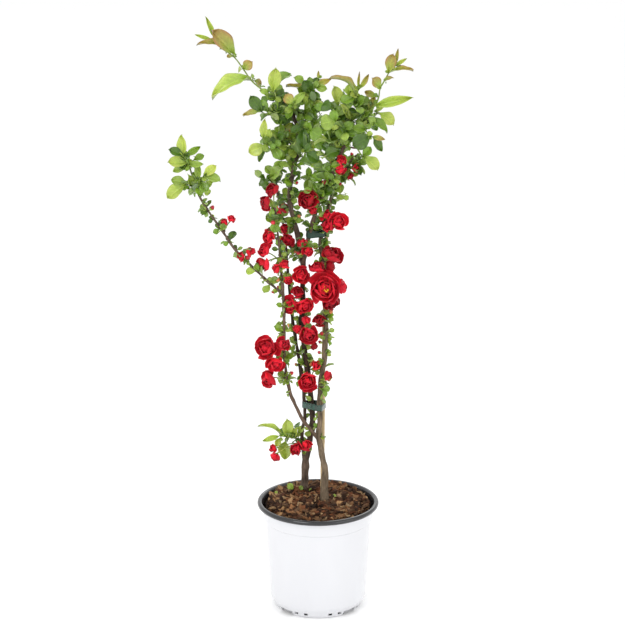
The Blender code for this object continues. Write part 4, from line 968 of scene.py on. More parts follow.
def nearest_on(stem, point):
    """The point and radius on a stem's line nearest to a point."""
    step = 0.002
    rows = [at_length(stem, k * step) for k in range(int(stem_length(stem) / step) + 1)]
    return min(rows, key=lambda row: (row[0] - point).length)


def facing_of(turn, lift):
    """The direction of a bloom, from its turns to the right and upwards."""
    yaw, pitch = math.radians(turn), math.radians(lift)
    return Vector((math.sin(yaw) * math.cos(pitch), -math.cos(yaw) * math.cos(pitch), math.sin(pitch)))


LEAF = blade_model("leaf_pointed", 8, 16, pointed_outline, leaf_relief, 0.010, "leaf")
ROUND_LEAF = blade_model("leaf_round", 8, 14, round_outline, leaf_relief, 0.012, "leaf")
MIDDLE_LEAF = blade_model("leaf_middle", 4, 8, round_outline, leaf_relief, 0.014, "leaf")
SMALL_LEAF = blade_model("leaf_small", 4, 5, round_outline, leaf_relief, 0.022, "leaf")
PETAL = blade_model("petal_open", 8, 10, petal_outline, petal_relief, 0.010, "petal")
SMALL_PETAL = blade_model("petal_small", 6, 6, petal_outline, petal_relief, 0.012, "petal")
BUD_PETAL = blade_model("petal_bud", 4, 6, petal_outline, petal_relief, 0.04, "petal")


def core_model():
    """The solid heart of a bud: a small sphere of unit radius."""
    bpy.ops.mesh.primitive_uv_sphere_add(segments=10, ring_count=6, radius=1.0)
    core = bpy.context.object
    bpy.ops.object.shade_smooth()
    finished(core, "bud", BUD_RED)
    return core


BUD_CORE = core_model()


def stamen_model():
    """A thin filament with a round anther on its end, one unit long."""
    bpy.ops.mesh.primitive_cone_add(vertices=5, radius1=0.05, radius2=0.03, depth=0.9,
                                    location=(0, 0, 0.45))
    thread = bpy.context.object
    bpy.ops.mesh.primitive_ico_sphere_add(subdivisions=1, radius=0.13, location=(0, 0, 0.95))
    anther = bpy.context.object
    pick(thread, anther)
    bpy.ops.object.join()
    bpy.ops.object.transform_apply(location=True, rotation=True, scale=True)
    finished(thread, "stamen", STAMEN_YELLOW)
    return thread


STAMEN = stamen_model()


def stood(model, place, axis, length, tint):
    """A copy of a unit model that stands at a place along an axis."""
    mesh = model.data.copy()
    turn = UP.rotation_difference(axis).to_matrix().to_4x4()
    mesh.transform(Matrix.Translation(place) @ turn @ Matrix.Scale(length, 4))
    tinted(mesh, tint)
    return linked("stood", mesh)


def bloom(rng, centre, axis, size, form, tint):
    """One open bloom: a spiral of cupped petals that close round its stamens."""
    parts = []
    model = PETAL if size > BIG_BLOOM else SMALL_PETAL
    side = axis.orthogonal().normalized()
    count, *spans = SPIRALS[form]
    start = rng.uniform(0, 2 * math.pi)
    for i in range(count):
        inner = (i / (count - 1)) ** 0.85
        length, rise, width, bowl = (first + (last - first) * inner for first, last in spans)
        turn = start + GOLDEN_TURN * i + rng.uniform(-PETAL_TURN, PETAL_TURN)
        outward = Matrix.Rotation(turn, 3, axis) @ side
        tilt = math.radians(rise + rng.uniform(*PETAL_TILTS))
        direction = outward * math.cos(tilt) + axis * math.sin(tilt)
        base = centre + outward * size * 0.02 - axis * size * (0.10 - 0.08 * inner)
        tip = base + direction * size * length * rng.uniform(*PETAL_LENGTHS)
        shade = varied(rng, tint, PETAL_SHADES)
        # Painted highlight: each petal's tip and rims are lighter than its body.
        edge = tuple(c * PETAL_RIM_HIGHLIGHT for c in shade)
        curl = rng.uniform(*PETAL_CURLS)
        wide = size * width * rng.uniform(*PETAL_WIDTHS)
        roll = rng.uniform(-PETAL_ROLL, PETAL_ROLL)
        parts.append(placed(model, base, tip, wide, axis, roll, -bowl, shade, edge, curl))
    back = centre - axis * size * 0.14
    for i in range(SEPALS):
        outward = Matrix.Rotation(2 * math.pi * i / SEPALS, 3, axis) @ side
        tip = back + (outward + axis * 0.5).normalized() * size * SEPAL_LENGTH
        green = varied(rng, LIGHT_GREEN, 0.15)
        sepal = placed(BUD_PETAL, back, tip, size * SEPAL_WIDTH, axis, 0.0, -0.1, green)
        sepal.data.materials[0] = MATERIALS["stalk"]
        parts.append(sepal)
    tufted = size > OPEN_BLOOM
    count = STAMENS if tufted else FEW_STAMENS
    for i in range(count):
        outward = Matrix.Rotation(LEAF_TURN * i, 3, axis) @ side
        direction = (axis + outward * 0.4 * math.sqrt((i + 0.5) / count)).normalized()
        length = size * (rng.uniform(*STAMEN_LENGTHS) if tufted else SHORT_STAMEN)
        foot = centre + outward * size * 0.02
        parts.append(stood(STAMEN, foot, direction, length, varied(rng, STAMEN_YELLOW, 0.1)))
    return parts


def bud(rng, centre, axis, size, tint):
    """A closed bud: petals wrapped over one another, and a green cup of sepals."""
    turn = rng.uniform(0, 2 * math.pi)
    radius = size / 2
    core = BUD_CORE.data.copy()
    tilt = UP.rotation_difference(axis).to_matrix().to_4x4()
    shape = Matrix.Diagonal((radius * 0.93, radius * 0.93, radius * 1.12, 1))
    core.transform(Matrix.Translation(centre) @ tilt @ shape)
    tinted(core, varied(rng, tint, 0.1))
    parts = [linked("core", core)]
    pitch = 2 * math.pi / BUD_PETALS
    reach = math.radians(BUD_PETAL_REACH / BUD_PETALS)
    for i in range(BUD_PETALS):
        parts.append(wrapped(BUD_PETAL, centre, axis, radius, turn + i * pitch, reach, 0.06 * i,
                             varied(rng, tint, 0.25)))
    reach = math.radians(BUD_SEPAL_REACH / BUD_PETALS)
    for i in range(BUD_PETALS):
        green = varied(rng, YELLOW_GREEN if i % 2 else LIGHT_GREEN, 0.15)
        parts.append(wrapped(BUD_PETAL, centre, axis, radius, turn + (i + 0.5) * pitch, reach, 0.28,
                             green, (0.03, 0.50), "stalk"))
    return parts


def stalk(start, end, axis, size, tint):
    """A short stalk that widens into the cup under a bloom or bud."""
    back = end - axis * size * 0.16
    rise = start.lerp(back, 0.55) + UP * (back - start).length * 0.06
    points = [start, rise, back, end - axis * size * 0.06, end]
    radii = [0.0012, 0.0010, 0.0014, max(0.0018, size * 0.085), max(0.0014, size * 0.06)]
    return limb(points, radii, "stalk", tint, 2, 3)


def leaf_at(rng, base, tip, width, facing, roll, bow, tint, end_tint=None, model=None):
    """A leaf of the model that suits its proportions."""
    if model is None:
        model = ROUND_LEAF if width / (tip - base).length > 0.5 else LEAF
    curl = rng.uniform(-0.05, 0.2)
    return placed(model, base, tip, width, facing, roll, bow, tint, end_tint, curl, UNDERSIDE)


def leaf_facing(rng):
    """Which way a leaf's upper side looks: up, and mostly to the front, else to the back."""
    way = FRONT if rng.random() < FRONT_SHARE else -FRONT
    return UP * 0.7 + way * 0.85 + Vector((rng.uniform(-0.5, 0.5), 0, 0))


def side_of(rng, along):
    """A direction out of a stem, more to one side than to the front or back."""
    while True:
        side = Matrix.Rotation(rng.uniform(0, 2 * math.pi), 3, along) @ along.orthogonal().normalized()
        if abs(side.y) < SIDEWAYS:
            return side


def rosette(rng, centre, along, radius, leaves, length, greens):
    """A tuft: leaves that spread from one place on a stem, round a direction out of it."""
    parts = []
    spur = (side_of(rng, along) + UP * 0.25).normalized()
    side = spur.orthogonal().normalized()
    foot = centre + spur * radius * LEAF_SEAT
    turn = rng.uniform(0, 2 * math.pi)
    for i in range(leaves):
        around = Matrix.Rotation(turn + i * LEAF_TURN + rng.uniform(-0.35, 0.35), 3, spur) @ side
        direction = (around + spur * rng.uniform(0.2, 0.9) + UP * 0.2).normalized()
        reach = length * rng.uniform(0.65, 1.2)
        tint = varied(rng, rng.choice(greens), 0.22)
        model = SMALL_LEAF if reach < MIDDLE_LEAF_FROM else MIDDLE_LEAF
        parts.append(leaf_at(rng, foot, foot + direction * reach, reach * rng.uniform(0.6, 0.85),
                             leaf_facing(rng), rng.uniform(-0.4, 0.4), rng.uniform(0.04, 0.16), tint,
                             None, model))
    return parts


def leafy_twig(rng, start, end, leaves, reach, greens):
    """A short side twig with leaves all along it."""
    heading = (end - start).normalized()
    side = heading.orthogonal().normalized()
    middle = start.lerp(end, 0.5) + UP * (end - start).length * 0.08
    skin = varied(rng, SHOOT_GREEN, 0.15)
    parts = [limb([start, middle, end], [0.0011, 0.0009, 0.0006], "stalk", skin, 1, 3)]
    for i in range(leaves):
        foot = start.lerp(end, (i + 0.6) / leaves)
        out = Matrix.Rotation(i * LEAF_TURN + rng.uniform(-0.4, 0.4), 3, heading) @ side
        direction = (out + heading * rng.uniform(0.4, 1.0)).normalized()
        size = reach * rng.uniform(0.7, 1.2)
        tint = varied(rng, rng.choice(greens), 0.2)
        small, middling = (size < limit for limit in TWIG_LEAF_SIZES)
        model = SMALL_LEAF if small else MIDDLE_LEAF if middling else ROUND_LEAF
        parts.append(leaf_at(rng, foot, foot + direction * size, size * rng.uniform(0.58, 0.8),
                             leaf_facing(rng), rng.uniform(-0.4, 0.4), rng.uniform(0.05, 0.16), tint,
                             None, model))
    return parts


def heading_at(stem, length):
    """The point, radius and heading at a length along a stem."""
    centre, radius = at_length(stem, length)
    ahead, _ = at_length(stem, length + 0.004)
    return centre, radius, (ahead - centre).normalized()


def side_twig(rng, start, along, lengths, leaves, reach):
    """A leafy twig that leaves a stem sideways and upwards."""
    heading = (side_of(rng, along) * 0.9 + UP * rng.uniform(0.2, 0.9)).normalized()
    end = start + heading * rng.uniform(*lengths)
    leaves = rng.randint(*leaves) if isinstance(leaves, tuple) else leaves
    return leafy_twig(rng, start, end, leaves, reach, CROWN_GREENS)


def small_bud(rng, centre, radius, along):
    """A small closed bud on a short stalk of its own."""
    side = side_of(rng, along)
    axis = (side + UP * 0.7 + FRONT * 0.4).normalized()
    spot = centre + side * (radius + 0.005)
    size = rng.uniform(*SMALL_BUDS)
    parts = bud(rng, spot + axis * size * 0.3, axis, size, rng.choice((BUD_RED, BUD_RED, BUD_PEACH)))
    route = [centre + side * radius * 0.6, spot - axis * size * 0.3, spot]
    parts.append(limb(route, [0.001, 0.0013, size * 0.3], "stalk", YELLOW_GREEN, 1, 2))
    return parts


def dress_stem(name, parts):
    """Leaf tufts and small buds all along one stem."""
    stem = STEMS[name]
    length = stem_length(stem)
    rng = random.Random(f"{name}-dress")
    for index, place in enumerate(tuft_places(name, stem)):
        centre, radius, along = heading_at(stem, place)
        greens = HIGH_GREENS if centre.z > DENSE_FROM else LOW_GREENS
        for outward, direction, reach, width, roll in tuft_leaves(name, index, centre, along):
            base = centre + outward * radius * LEAF_SEAT
            parts.append(leaf_at(rng, base, base + direction * reach, width * 1.15, leaf_facing(rng),
                                 roll, 0.08, varied(rng, rng.choice(greens), 0.2)))
        parts += rosette(rng, centre, along, radius, 3, 0.012, greens)
    place = TUFT_ROWS[name][0] * 0.55
    while place < length - 0.006:
        centre, radius, along = heading_at(stem, place)
        dense = centre.z > DENSE_FROM and name != SPARSE_STEM
        greens = HIGH_GREENS if centre.z > DARK_FROM else LOW_GREENS
        place += rng.uniform(*(DENSE_PITCH if dense else OPEN_PITCH))
        if any(abs(centre.z - height * MM) < TIE_CLEARANCE for height, _ in TIES.values()):
            continue
        below_crown = centre.z < CROWN_FROM
        if dense:
            for _ in range(2 if rng.random() < PAIR_CHANCE else 1):
                parts += rosette(rng, centre, along, radius, 4 if below_crown else 3,
                                 rng.uniform(*DENSE_LEAVES), greens)
            if centre.z > TWIGS_FROM and rng.random() < TWIG_CHANCE:
                parts += side_twig(rng, centre, along, (0.014, 0.036), (4, 6),
                                   0.018 if below_crown else 0.026)
        elif centre.z > LEAFY_FROM or rng.random() < LOW_LEAF_CHANCE:
            parts += rosette(rng, centre, along, radius, rng.randint(3, 5), rng.uniform(*OPEN_LEAVES), greens)
        if centre.z > BUDS_FROM and rng.random() < BUD_CHANCE:
            parts += small_bud(rng, centre, radius, along)
    top = at_length(stem, length)[0].z - 0.004
    for owner, height, (x, step, z) in CROWN_TWIGS:
        if owner == name:
            start, _ = at_height(stem, min(height * MM, top))
            goal = Vector((x * MM, start.y + step * MM, z * MM))
            parts += leafy_twig(rng, start, goal, 7, 0.027, CROWN_GREENS)


def bark_colours(rng, stem_name, mesh):
    """The bark's colour at each point: the listed dark stems are darkest over a span of middle heights."""
    heights = points_of(mesh)[:, 2]
    plain = np.array(varied(rng, BARK_TAN if stem_name in TAN_STEMS else BARK_GREY, 0.1))
    if stem_name not in DARK_STEMS:
        return plain
    share = np.interp(heights, DARK_SPAN, (0, 1, 1, 0))[:, None]
    return plain * (1 - share) + np.array(BARK_DARK) * share


def make_cane(name, stem_names):
    """One cane: its barked and knotted stems, and a piece for the leaves and small buds of each."""
    limbs = []
    for stem_name in stem_names:
        stem = STEMS[stem_name]
        length = stem_length(stem)
        rng = random.Random(f"{stem_name}-bark")
        points, radii = [], []
        count = max(3, int(length / BARK_PITCH))
        for k in range(count + 1):
            point, radius = at_length(stem, length * k / count)
            wander = Vector((rng.uniform(-1, 1), rng.uniform(-1, 1), 0)) * radius * BARK_WANDER
            points.append(point + wander)
            radii.append(radius * rng.uniform(*BARK_SWELL) * (WAIST_SWELL if k % 3 else KNOT_SWELL))
        if points[0].z < POT_HEIGHT:
            radii[0] *= ROOT_SWELL
            points.insert(0, points[0] - UP * 0.014)
            radii.insert(0, radii[0] * 1.3)
        sides = 5 if "trunk" in stem_name else 3
        wood = limb(points, radii, "bark", BARK_GREY, sides, 4, BARK_DEPTH)
        tinted(wood.data, bark_colours(rng, stem_name, wood.data))
        limbs.append(wood)
    hand_over(joined(name + "_bark", limbs), "cane_bark", name)
    for stem_name in stem_names:
        if stem_name in TUFT_ROWS:
            parts = []
            dress_stem(stem_name, parts)
            hand_over(joined(stem_name + "_leaves", parts), "leaf_green", name)


def make_shoot(row):
    """A leafy shoot: its stem, the leaves of its list, and the small leaves at their feet."""
    name, stem_name, radius, spread, route, leaves = row
    rng = random.Random(f"{name}-looks")
    bare = name in BARE_SHOOTS
    depths = shoot_depths(stem_name, spread, route)
    points = [mm(set_back(p, depth)) for p, depth in zip(route, depths)]
    points[0], _ = nearest_on(STEMS[stem_name], points[0])
    radii = [radius * MM * (1.15 - 0.5 * i / (len(points) - 1)) for i in range(len(points))]
    parts = [limb(points, radii, "stalk", varied(rng, SHOOT_GREEN, 0.1), 2, 4, 0.0002)]
    for index, (k, tip, width, *arched) in enumerate(leaves):
        roll = random.Random(f"{name}-{index}").uniform(-0.45, 0.45)
        young = index in YOUNG_LEAVES.get(name, ())
        light = index in LIGHT_LEAVES.get(name, ())
        tint = LIGHT_GREEN
        if not light and not young:
            tint = rng.choice((DARK_GREEN, MID_GREEN, MID_GREEN, SOFT_GREEN))
        end_tint = BRONZE if young else YELLOW_GREEN if light else tint
        if bare and not light and not young:
            tint, end_tint = SOFT_GREEN, BRONZE
        end_tint = varied(rng, end_tint, 0.12)
        bow = 0.2 if arched else 0.07
        facing = Vector((0, -0.4, 1.0)) if arched else Vector((0, -0.85, 0.5))
        parts.append(leaf_at(rng, points[k], mm(set_back(tip, depths[k])), width * MM, facing, roll, bow,
                             varied(rng, tint, 0.12), end_tint))
    for k in range(1, len(points)):
        along = (points[k] - points[k - 1]).normalized()
        near_foot = k < (2 if bare else len(points) - 1)
        parts += rosette(rng, points[k], along, radii[k], 2 if bare and k > 1 else 4,
                         FOOT_LEAF if near_foot else OUTER_LEAF, CROWN_GREENS)
        if near_foot:
            middle = points[k - 1].lerp(points[k], 0.5)
            parts += rosette(rng, middle, along, radii[k], 4, FOOT_LEAF, HIGH_GREENS)
            parts += side_twig(rng, middle, along, (0.012, 0.026), 4, 0.020)
    hand_over(joined(name + "_leafage", parts), "leaf_green", name)


def grown(size):
    """The size of a bloom in metres, from its listed size."""
    return size * (MM * next(factor for limit, factor in BLOOM_GROWTH if size < limit))


def make_cluster(row):
    """A cluster on stalks from one spur: blooms, and buds that open into cups."""
    name, stem_name, root, blooms = row
    rng = random.Random(f"{name}-looks")
    depth = lean(stem_name, root[2])
    centres = [mm(set_back(spot, depth)) for spot in blooms]
    aim = sum(centres, Vector()) / len(centres)
    foot, radius = nearest_on(STEMS[stem_name], mm(set_back(root, depth)))
    outward = (aim - foot).normalized()
    knee = foot + outward * (radius + 0.004)
    route = [foot, foot.lerp(knee, 0.6), knee]
    parts = [limb(route, [0.0022, 0.0025, 0.0016], "bark", BARK_GREY, 2, 3, 0.0006)]
    for centre, (*_, listed, turn, lift, form) in zip(centres, blooms):
        axis = facing_of(turn, lift)
        size = grown(listed)
        # Blooms that face well downwards take the crimson as painted shade on their backs; the listed dark
        # blooms take it too.
        dark = name in DARK_BLOOMS or lift < -30
        tint = varied(rng, CRIMSON if dark else SCARLET, 0.12)
        if form == "bud":
            parts += bloom(rng, centre - axis * size * 0.24, axis, size * 1.12, "cup", tint)
            parts.append(stalk(knee, centre - axis * size * 0.36, axis, size * 0.7, YELLOW_GREEN))
        else:
            parts += bloom(rng, centre, axis, size, form, tint)
            parts.append(stalk(knee, centre - axis * size * 0.02, axis, size * 0.6, SHOOT_GREEN))
    parts += rosette(rng, knee, outward, 0.002, 4, 0.015, LOW_GREENS)
    hand_over(joined(name + "_flowers", parts), "scarlet_petal", name)


def lathe(name, profile, steps, finish):
    """A turned shape: a ring that is extruded and resized up its profile of (radius, height)."""
    radius, height = profile[0]
    bpy.ops.mesh.primitive_circle_add(vertices=steps, radius=radius, location=(0, 0, height),
                                      fill_type="NOTHING")
    piece = bpy.context.object
    bpy.ops.object.transform_apply(location=True, rotation=True, scale=True)
    bpy.ops.object.mode_set(mode="EDIT")
    bpy.ops.mesh.select_all(action="SELECT")
    for next_radius, next_height in profile[1:]:
        move = {"value": (0, 0, next_height - height)}
        bpy.ops.mesh.extrude_region_move(TRANSFORM_OT_translate=move)
        share = next_radius / radius
        bpy.ops.transform.resize(value=(share, share, 1), center_override=(0, 0, next_height))
        radius, height = next_radius, next_height
    bpy.ops.object.mode_set(mode="OBJECT")
    piece.name = name
    piece.data.materials.append(MATERIALS[finish])
    return piece


def closed_ends(piece):
    """Fills the open rings at both ends and turns all faces outwards."""
    pick(piece)
    bpy.ops.object.mode_set(mode="EDIT")
    bpy.ops.mesh.select_all(action="DESELECT")
    bpy.ops.mesh.select_non_manifold()
    bpy.ops.mesh.edge_face_add()
    bpy.ops.object.mode_set(mode="OBJECT")
    merged(WELD)


def arc(centre_radius, centre_height, reach, start, end, steps):
    """Points (radius, height) on an arc, by angle in degrees."""
    angles = [math.radians(start + (end - start) * k / steps) for k in range(steps + 1)]
    return [(centre_radius + reach * math.cos(a), centre_height + reach * math.sin(a)) for a in angles]


def boxed(place, size, turn):
    """A box cutter at a place on the pot's foot, turned about the pot's axis."""
    bpy.ops.mesh.primitive_cube_add(size=1.0)
    box = bpy.context.object
    shape = Matrix.Translation(place) @ Matrix.Diagonal((*size, 1))
    box.matrix_world = Matrix.Rotation(turn, 4, "Z") @ shape
    bpy.ops.object.transform_apply(location=True, rotation=True, scale=True)
    return box


def make_pot():
    """The pot: a white wall with a moulded shoulder, a black rolled rim and a black inside."""
    roll = RIM_ROLL
    rim_centre = POT_RIM_RADIUS - roll
    top = POT_HEIGHT - roll * 0.7
    shoulder = POT_HEIGHT - POT_SHOULDER_DROP
    rim_low = POT_HEIGHT - RIM_HEIGHT
    profile = [(POT_FOOT_RADIUS - 0.010, 0.0015), (POT_FOOT_RADIUS - 0.004, 0.0), (POT_FOOT_RADIUS, 0.0008)]
    profile += [(POT_LOWER_RADIUS - 0.0012, POT_CHAMFER_HEIGHT - 0.003),
                (POT_LOWER_RADIUS, POT_CHAMFER_HEIGHT),
                (POT_LOWER_RADIUS + 0.0006, POT_CHAMFER_HEIGHT + 0.006)]
    profile += [(POT_TOP_RADIUS - 0.0032, shoulder - 0.006), (POT_TOP_RADIUS - 0.0030, shoulder - 0.0018),
                (POT_TOP_RADIUS - 0.0008, shoulder), (POT_TOP_RADIUS - 0.0006, shoulder + 0.0015),
                (POT_TOP_RADIUS + 0.0004, rim_low - 0.0018), (POT_TOP_RADIUS + 0.0012, rim_low - 0.0006),
                (rim_centre + 0.001, rim_low + 0.0002)]
    profile += arc(rim_centre, top - 0.0006, roll, -50, 160, 12)
    inside = POT_TOP_RADIUS - POT_WALL
    profile += [(inside + 0.0004, rim_low - 0.001), (inside, POT_HEIGHT - 0.012),
                (POT_LOWER_RADIUS - POT_WALL, POT_CHAMFER_HEIGHT + POT_WALL),
                (POT_FOOT_RADIUS - POT_WALL, POT_WALL), (0.012, POT_WALL)]
    pot = lathe("pot_shell", profile, 128, "pot_wall")
    closed_ends(pot)
    notch_place = (POT_LOWER_RADIUS, 0, NOTCH_HEIGHT / 2 - 0.005)
    notch_size = (0.030, NOTCH_WIDTH, NOTCH_HEIGHT + 0.010)
    cutters = [boxed(notch_place, notch_size, math.radians(angle)) for angle in NOTCH_ANGLES]
    for quarter in range(4):
        for offset in SLOT_OFFSETS:
            slot_place = (POT_FOOT_RADIUS + 0.004, offset, 0.0075)
            cutters.append(boxed(slot_place, SLOT_SIZE, quarter * math.pi / 2))
    tool = joined("pot_cutters", cutters)
    bite = pot.modifiers.new("bite", "BOOLEAN")
    bite.operation = "DIFFERENCE"
    bite.object = tool
    apply_modifiers(pot)
    bpy.data.objects.remove(tool)
    pot.data.materials.append(MATERIALS["pot_black"])
    for face in pot.data.polygons:
        spot = face.center
        reach = math.hypot(spot.x, spot.y)
        inner = face.normal.x * spot.x + face.normal.y * spot.y < 0 and spot.z > 0.004
        black = spot.z > rim_low + 0.0006 or (inner and reach < POT_TOP_RADIUS - 0.001)
        face.material_index = 1 if black else 0
    pick(pot)
    bpy.ops.object.shade_smooth_by_angle(angle=math.radians(32))
    hand_over(pot, "white_plastic", "nursery_pot")


def chip_model(index):
    """A flat splintered bark chip, one unit long."""
    rng = random.Random(f"chip-{index}")
    bpy.ops.mesh.primitive_cube_add(size=1.0)
    chip = bpy.context.object
    chip.scale = (1.0, rng.uniform(0.32, 0.6), rng.uniform(0.13, 0.24))
    bpy.ops.object.transform_apply(scale=True)
    bpy.ops.object.mode_set(mode="EDIT")
    bpy.ops.mesh.subdivide(number_cuts=1)
    bpy.ops.mesh.select_all(action="SELECT")
    bpy.ops.object.mode_set(mode="OBJECT")
    for vert in chip.data.vertices:
        spot = vert.co * 2.3 + Vector((index * 7.0, 0, 0))
        vert.co *= 1 + 0.45 * noise.noise(spot)
        vert.co.z += 0.09 * noise.noise(spot * 1.7)
    finished(chip, "chip", CHIP_COLOURS[0])
    return chip


def make_mix_leaves():
    """A few small leaves at the foot of the canes; each row is a place, a length and a turn."""
    rng = random.Random("mix-leaves")
    parts = []
    for x, y, length, turn in MIX_LEAVES:
        height = mix_height(math.hypot(x, y) * MM, math.atan2(y, x)) + MIX_RISE + 0.004
        start = Vector((x * MM, y * MM, height))
        heading = Vector((math.cos(math.radians(turn)), -0.3, 1.1)).normalized()
        joint = start + heading * length * MM * 0.3
        parts.append(limb([start - UP * 0.008, joint], [0.0008, 0.0006], "stalk", SHOOT_GREEN, 1, 2))
        parts.append(leaf_at(rng, joint, joint + heading * length * MM, length * MM * 0.75,
                             UP * 0.7 + FRONT, 0.0, 0.1, varied(rng, SOFT_GREEN, 0.2), None, MIDDLE_LEAF))
    hand_over(joined("mix_leaves", parts), "leaf_green", "potting_mix")


def heap_height(reach, angle, edge):
    """The height of the loose chips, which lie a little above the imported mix."""
    return mix_height(reach, angle) + MIX_RISE + MIX_CENTRE_RISE * (1 - (reach / edge) ** 2)


def make_mix():
    """The potting mix: dark soil under a heap of bark chips."""
    edge = inner_radius(MIX_EDGE_HEIGHT - MIX_TILT) - 0.0006
    rings = [(edge - 0.004, 0.100), (edge - 0.002, MIX_EDGE_HEIGHT - 0.010)]
    rings += [(edge * (1 - k / 24), MIX_EDGE_HEIGHT) for k in range(24)]
    soil = lathe("soil", rings, 96, "soil")
    closed_ends(soil)
    for vert in soil.data.vertices:
        if vert.co.z > MIX_EDGE_HEIGHT - 0.001:
            reach = math.hypot(vert.co.x, vert.co.y)
            vert.co.z = heap_height(reach, math.atan2(vert.co.y, vert.co.x), edge) - 0.001
            vert.co.z += 0.0018 * noise.noise(vert.co * 120) * min(1.0, (edge - reach) / 0.006)
    pick(soil)
    bpy.ops.object.shade_smooth()
    tinted(soil.data, (1, 1, 1))
    hand_over(soil, "bark_mix", "potting_mix")
    models = [chip_model(index) for index in range(CHIP_MODELS)]
    rng = random.Random("chips")
    stems = [(mm(stem[0]), stem[0][3] * MM) for stem in (LEFT_TRUNK, RIGHT_TRUNK, STAKE)]
    chips = []
    while len(chips) < CHIP_COUNT:
        reach = edge * math.sqrt(rng.random()) * 0.985
        angle = rng.uniform(0, 2 * math.pi)
        spot = Vector((reach * math.cos(angle), reach * math.sin(angle), 0))
        length = rng.uniform(*(CHIP_LENGTHS if reach < edge - 0.010 else WALL_CHIP_LENGTHS))
        if reach + length * 0.55 > edge:
            continue
        if any((spot.xy - centre.xy).length < radius + length * 0.12 for centre, radius in stems):
            continue
        spot.z = heap_height(reach, angle, edge) + rng.uniform(-0.001, 0.0040)
        mesh = rng.choice(models).data.copy()
        tilt = Matrix.Rotation(rng.gauss(0, CHIP_TILT), 4, "X")
        tilt @= Matrix.Rotation(rng.gauss(0, CHIP_TILT), 4, "Y")
        spin = Matrix.Rotation(rng.uniform(0, 6.28), 4, "Z")
        mesh.transform(Matrix.Translation(spot) @ tilt @ spin @ Matrix.Scale(length, 4))
        tinted(mesh, varied(rng, rng.choice(CHIP_COLOURS), 0.25))
        chips.append(linked("chip", mesh))
    heap = joined("bark_chips", chips)
    for model in models:
        bpy.data.objects.remove(model)
    hand_over(heap, "bark_mix", "potting_mix")


def make_stake():
    """The bamboo stake, with a ridge at each node."""
    points, radii = [], []
    length = stem_length(STEMS["stake"])
    count = int(length / STAKE_STEP)
    for k in range(count + 1):
        point, radius = at_length(STEMS["stake"], length * k / count)
        points.append(point)
        ridged = k % STAKE_NODE_STEPS == STAKE_NODE_STEPS // 2
        radii.append(radius * (STAKE_RIDGE if ridged else STAKE_BETWEEN))
    stake = limb(points, radii, "bamboo", (1, 1, 1), 5, 2, 0.0002)
    stake.name = "bamboo_cane"
    hand_over(stake, "bamboo", "bamboo_stake")


def tie_outline(height, stem_names, gap):
    """Points round the stems that a tie holds, at a height."""
    outline = []
    for step in range(TIE_STEPS):
        angle = 2 * math.pi * step / TIE_STEPS
        out = Vector((math.cos(angle), math.sin(angle)))
        edges = []
        for stem_name in stem_names:
            centre, radius = at_height(STEMS[stem_name], height)
            edges.append(centre.xy + out * (radius + gap))
        outline.append(max(edges, key=lambda edge: edge.dot(out)))
    return outline


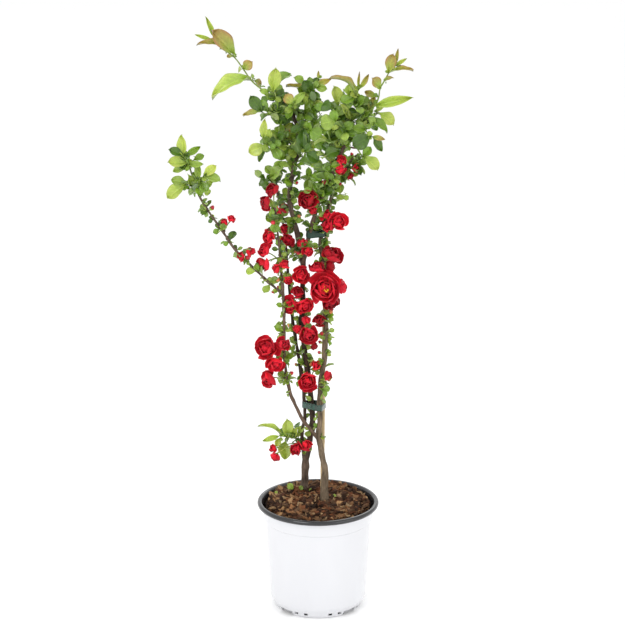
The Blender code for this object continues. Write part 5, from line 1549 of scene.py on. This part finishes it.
def make_tie(name):
    """A soft tape drawn twice round the stems, and a little crumpled."""
    height, stem_names = TIES[name]
    height *= MM
    rng = random.Random(name)
    parts = []
    for wrap in range(2):
        outline = tie_outline(height, stem_names, 0.0010 + 0.0005 * wrap)
        bpy.ops.mesh.primitive_circle_add(vertices=TIE_STEPS, radius=0.02, fill_type="NOTHING")
        band = bpy.context.object
        bpy.ops.object.mode_set(mode="EDIT")
        bpy.ops.mesh.select_all(action="SELECT")
        for _ in range(TIE_ROWS):
            bpy.ops.mesh.extrude_region_move(TRANSFORM_OT_translate={"value": (0, 0, MM)})
        bpy.ops.object.mode_set(mode="OBJECT")
        slope = rng.uniform(-0.12, 0.12)
        for vert in band.data.vertices:
            angle = math.atan2(vert.co.y, vert.co.x) % (2 * math.pi)
            spot = outline[round(angle / (2 * math.pi) * TIE_STEPS) % TIE_STEPS]
            level = vert.co.z / (TIE_ROWS * MM)
            crease = 0.0006 * noise.noise(Vector((spot.x * 160, spot.y * 160, level * 2.0 + wrap * 5)))
            out = Vector((math.cos(angle), math.sin(angle)))
            tall = (level - 0.5) * TIE_HEIGHT * (0.98 - 0.2 * wrap)
            slant = slope * (spot.x - outline[0].x) * (1 - wrap)
            vert.co = (*(spot + out * crease), height + tall + slant)
        wall = band.modifiers.new("wall", "SOLIDIFY")
        wall.thickness = TIE_WALL
        wall.offset = 1.0
        apply_modifiers(band)
        bpy.ops.object.shade_smooth()
        finished(band, name)
        parts.append(band)
    hand_over(joined(name + "_tape", parts), "green_tape", name)


def make_all():
    """Makes every piece, then removes the shapes that they were copied from."""
    make_pot()
    make_mix()
    make_mix_leaves()
    for name, stem_names in CANES.items():
        make_cane(name, stem_names)
    make_stake()
    for name in TIES:
        make_tie(name)
    for row in SHOOTS:
        make_shoot(row)
    for row in CLUSTERS:
        make_cluster(row)
    for model in (LEAF, ROUND_LEAF, MIDDLE_LEAF, SMALL_LEAF, PETAL, SMALL_PETAL, BUD_PETAL, BUD_CORE, STAMEN):
        bpy.data.objects.remove(model)


def make_studio():
    """A pale floor, soft lights and the camera."""
    bpy.ops.mesh.primitive_plane_add(size=FLOOR_SIZE, location=(0, 0, -0.0003))
    floor = bpy.context.object
    floor.name = "studio_floor"
    paint = bpy.data.materials.new("studio_floor_paint")
    paint.use_nodes = True
    shader = paint.node_tree.nodes["Principled BSDF"]
    socket(shader, "Base Color", FLOOR_PAINT)
    socket(shader, "Roughness", 0.9)
    floor.data.materials.append(paint)
    world = bpy.data.worlds.new("studio_air")
    world.use_nodes = True
    air = world.node_tree.nodes["Background"]
    socket(air, "Color", (1, 1, 1, 1))
    socket(air, "Strength", WORLD_LEVEL)
    bpy.context.scene.world = world
    for name, place, size, power in LAMPS:
        lamp = bpy.data.lights.new(name, "AREA")
        lamp.size = size
        lamp.energy = power
        item = linked(name, lamp)
        item.location = place
        item.rotation_euler = (LAMP_TARGET - Vector(place)).to_track_quat("-Z", "Y").to_euler()
    bpy.context.scene.view_settings.view_transform = "Standard"
    camera = bpy.data.cameras.new("photo_view")
    camera.sensor_width = 36.0
    camera.lens = CAMERA_LENS
    item = linked("photo_view", camera)
    item.location = VIEW_POINT * MM
    item.rotation_euler = (math.radians(90 - CAMERA_TILT), 0, 0)
    bpy.context.scene.camera = item


make_all()
make_studio()
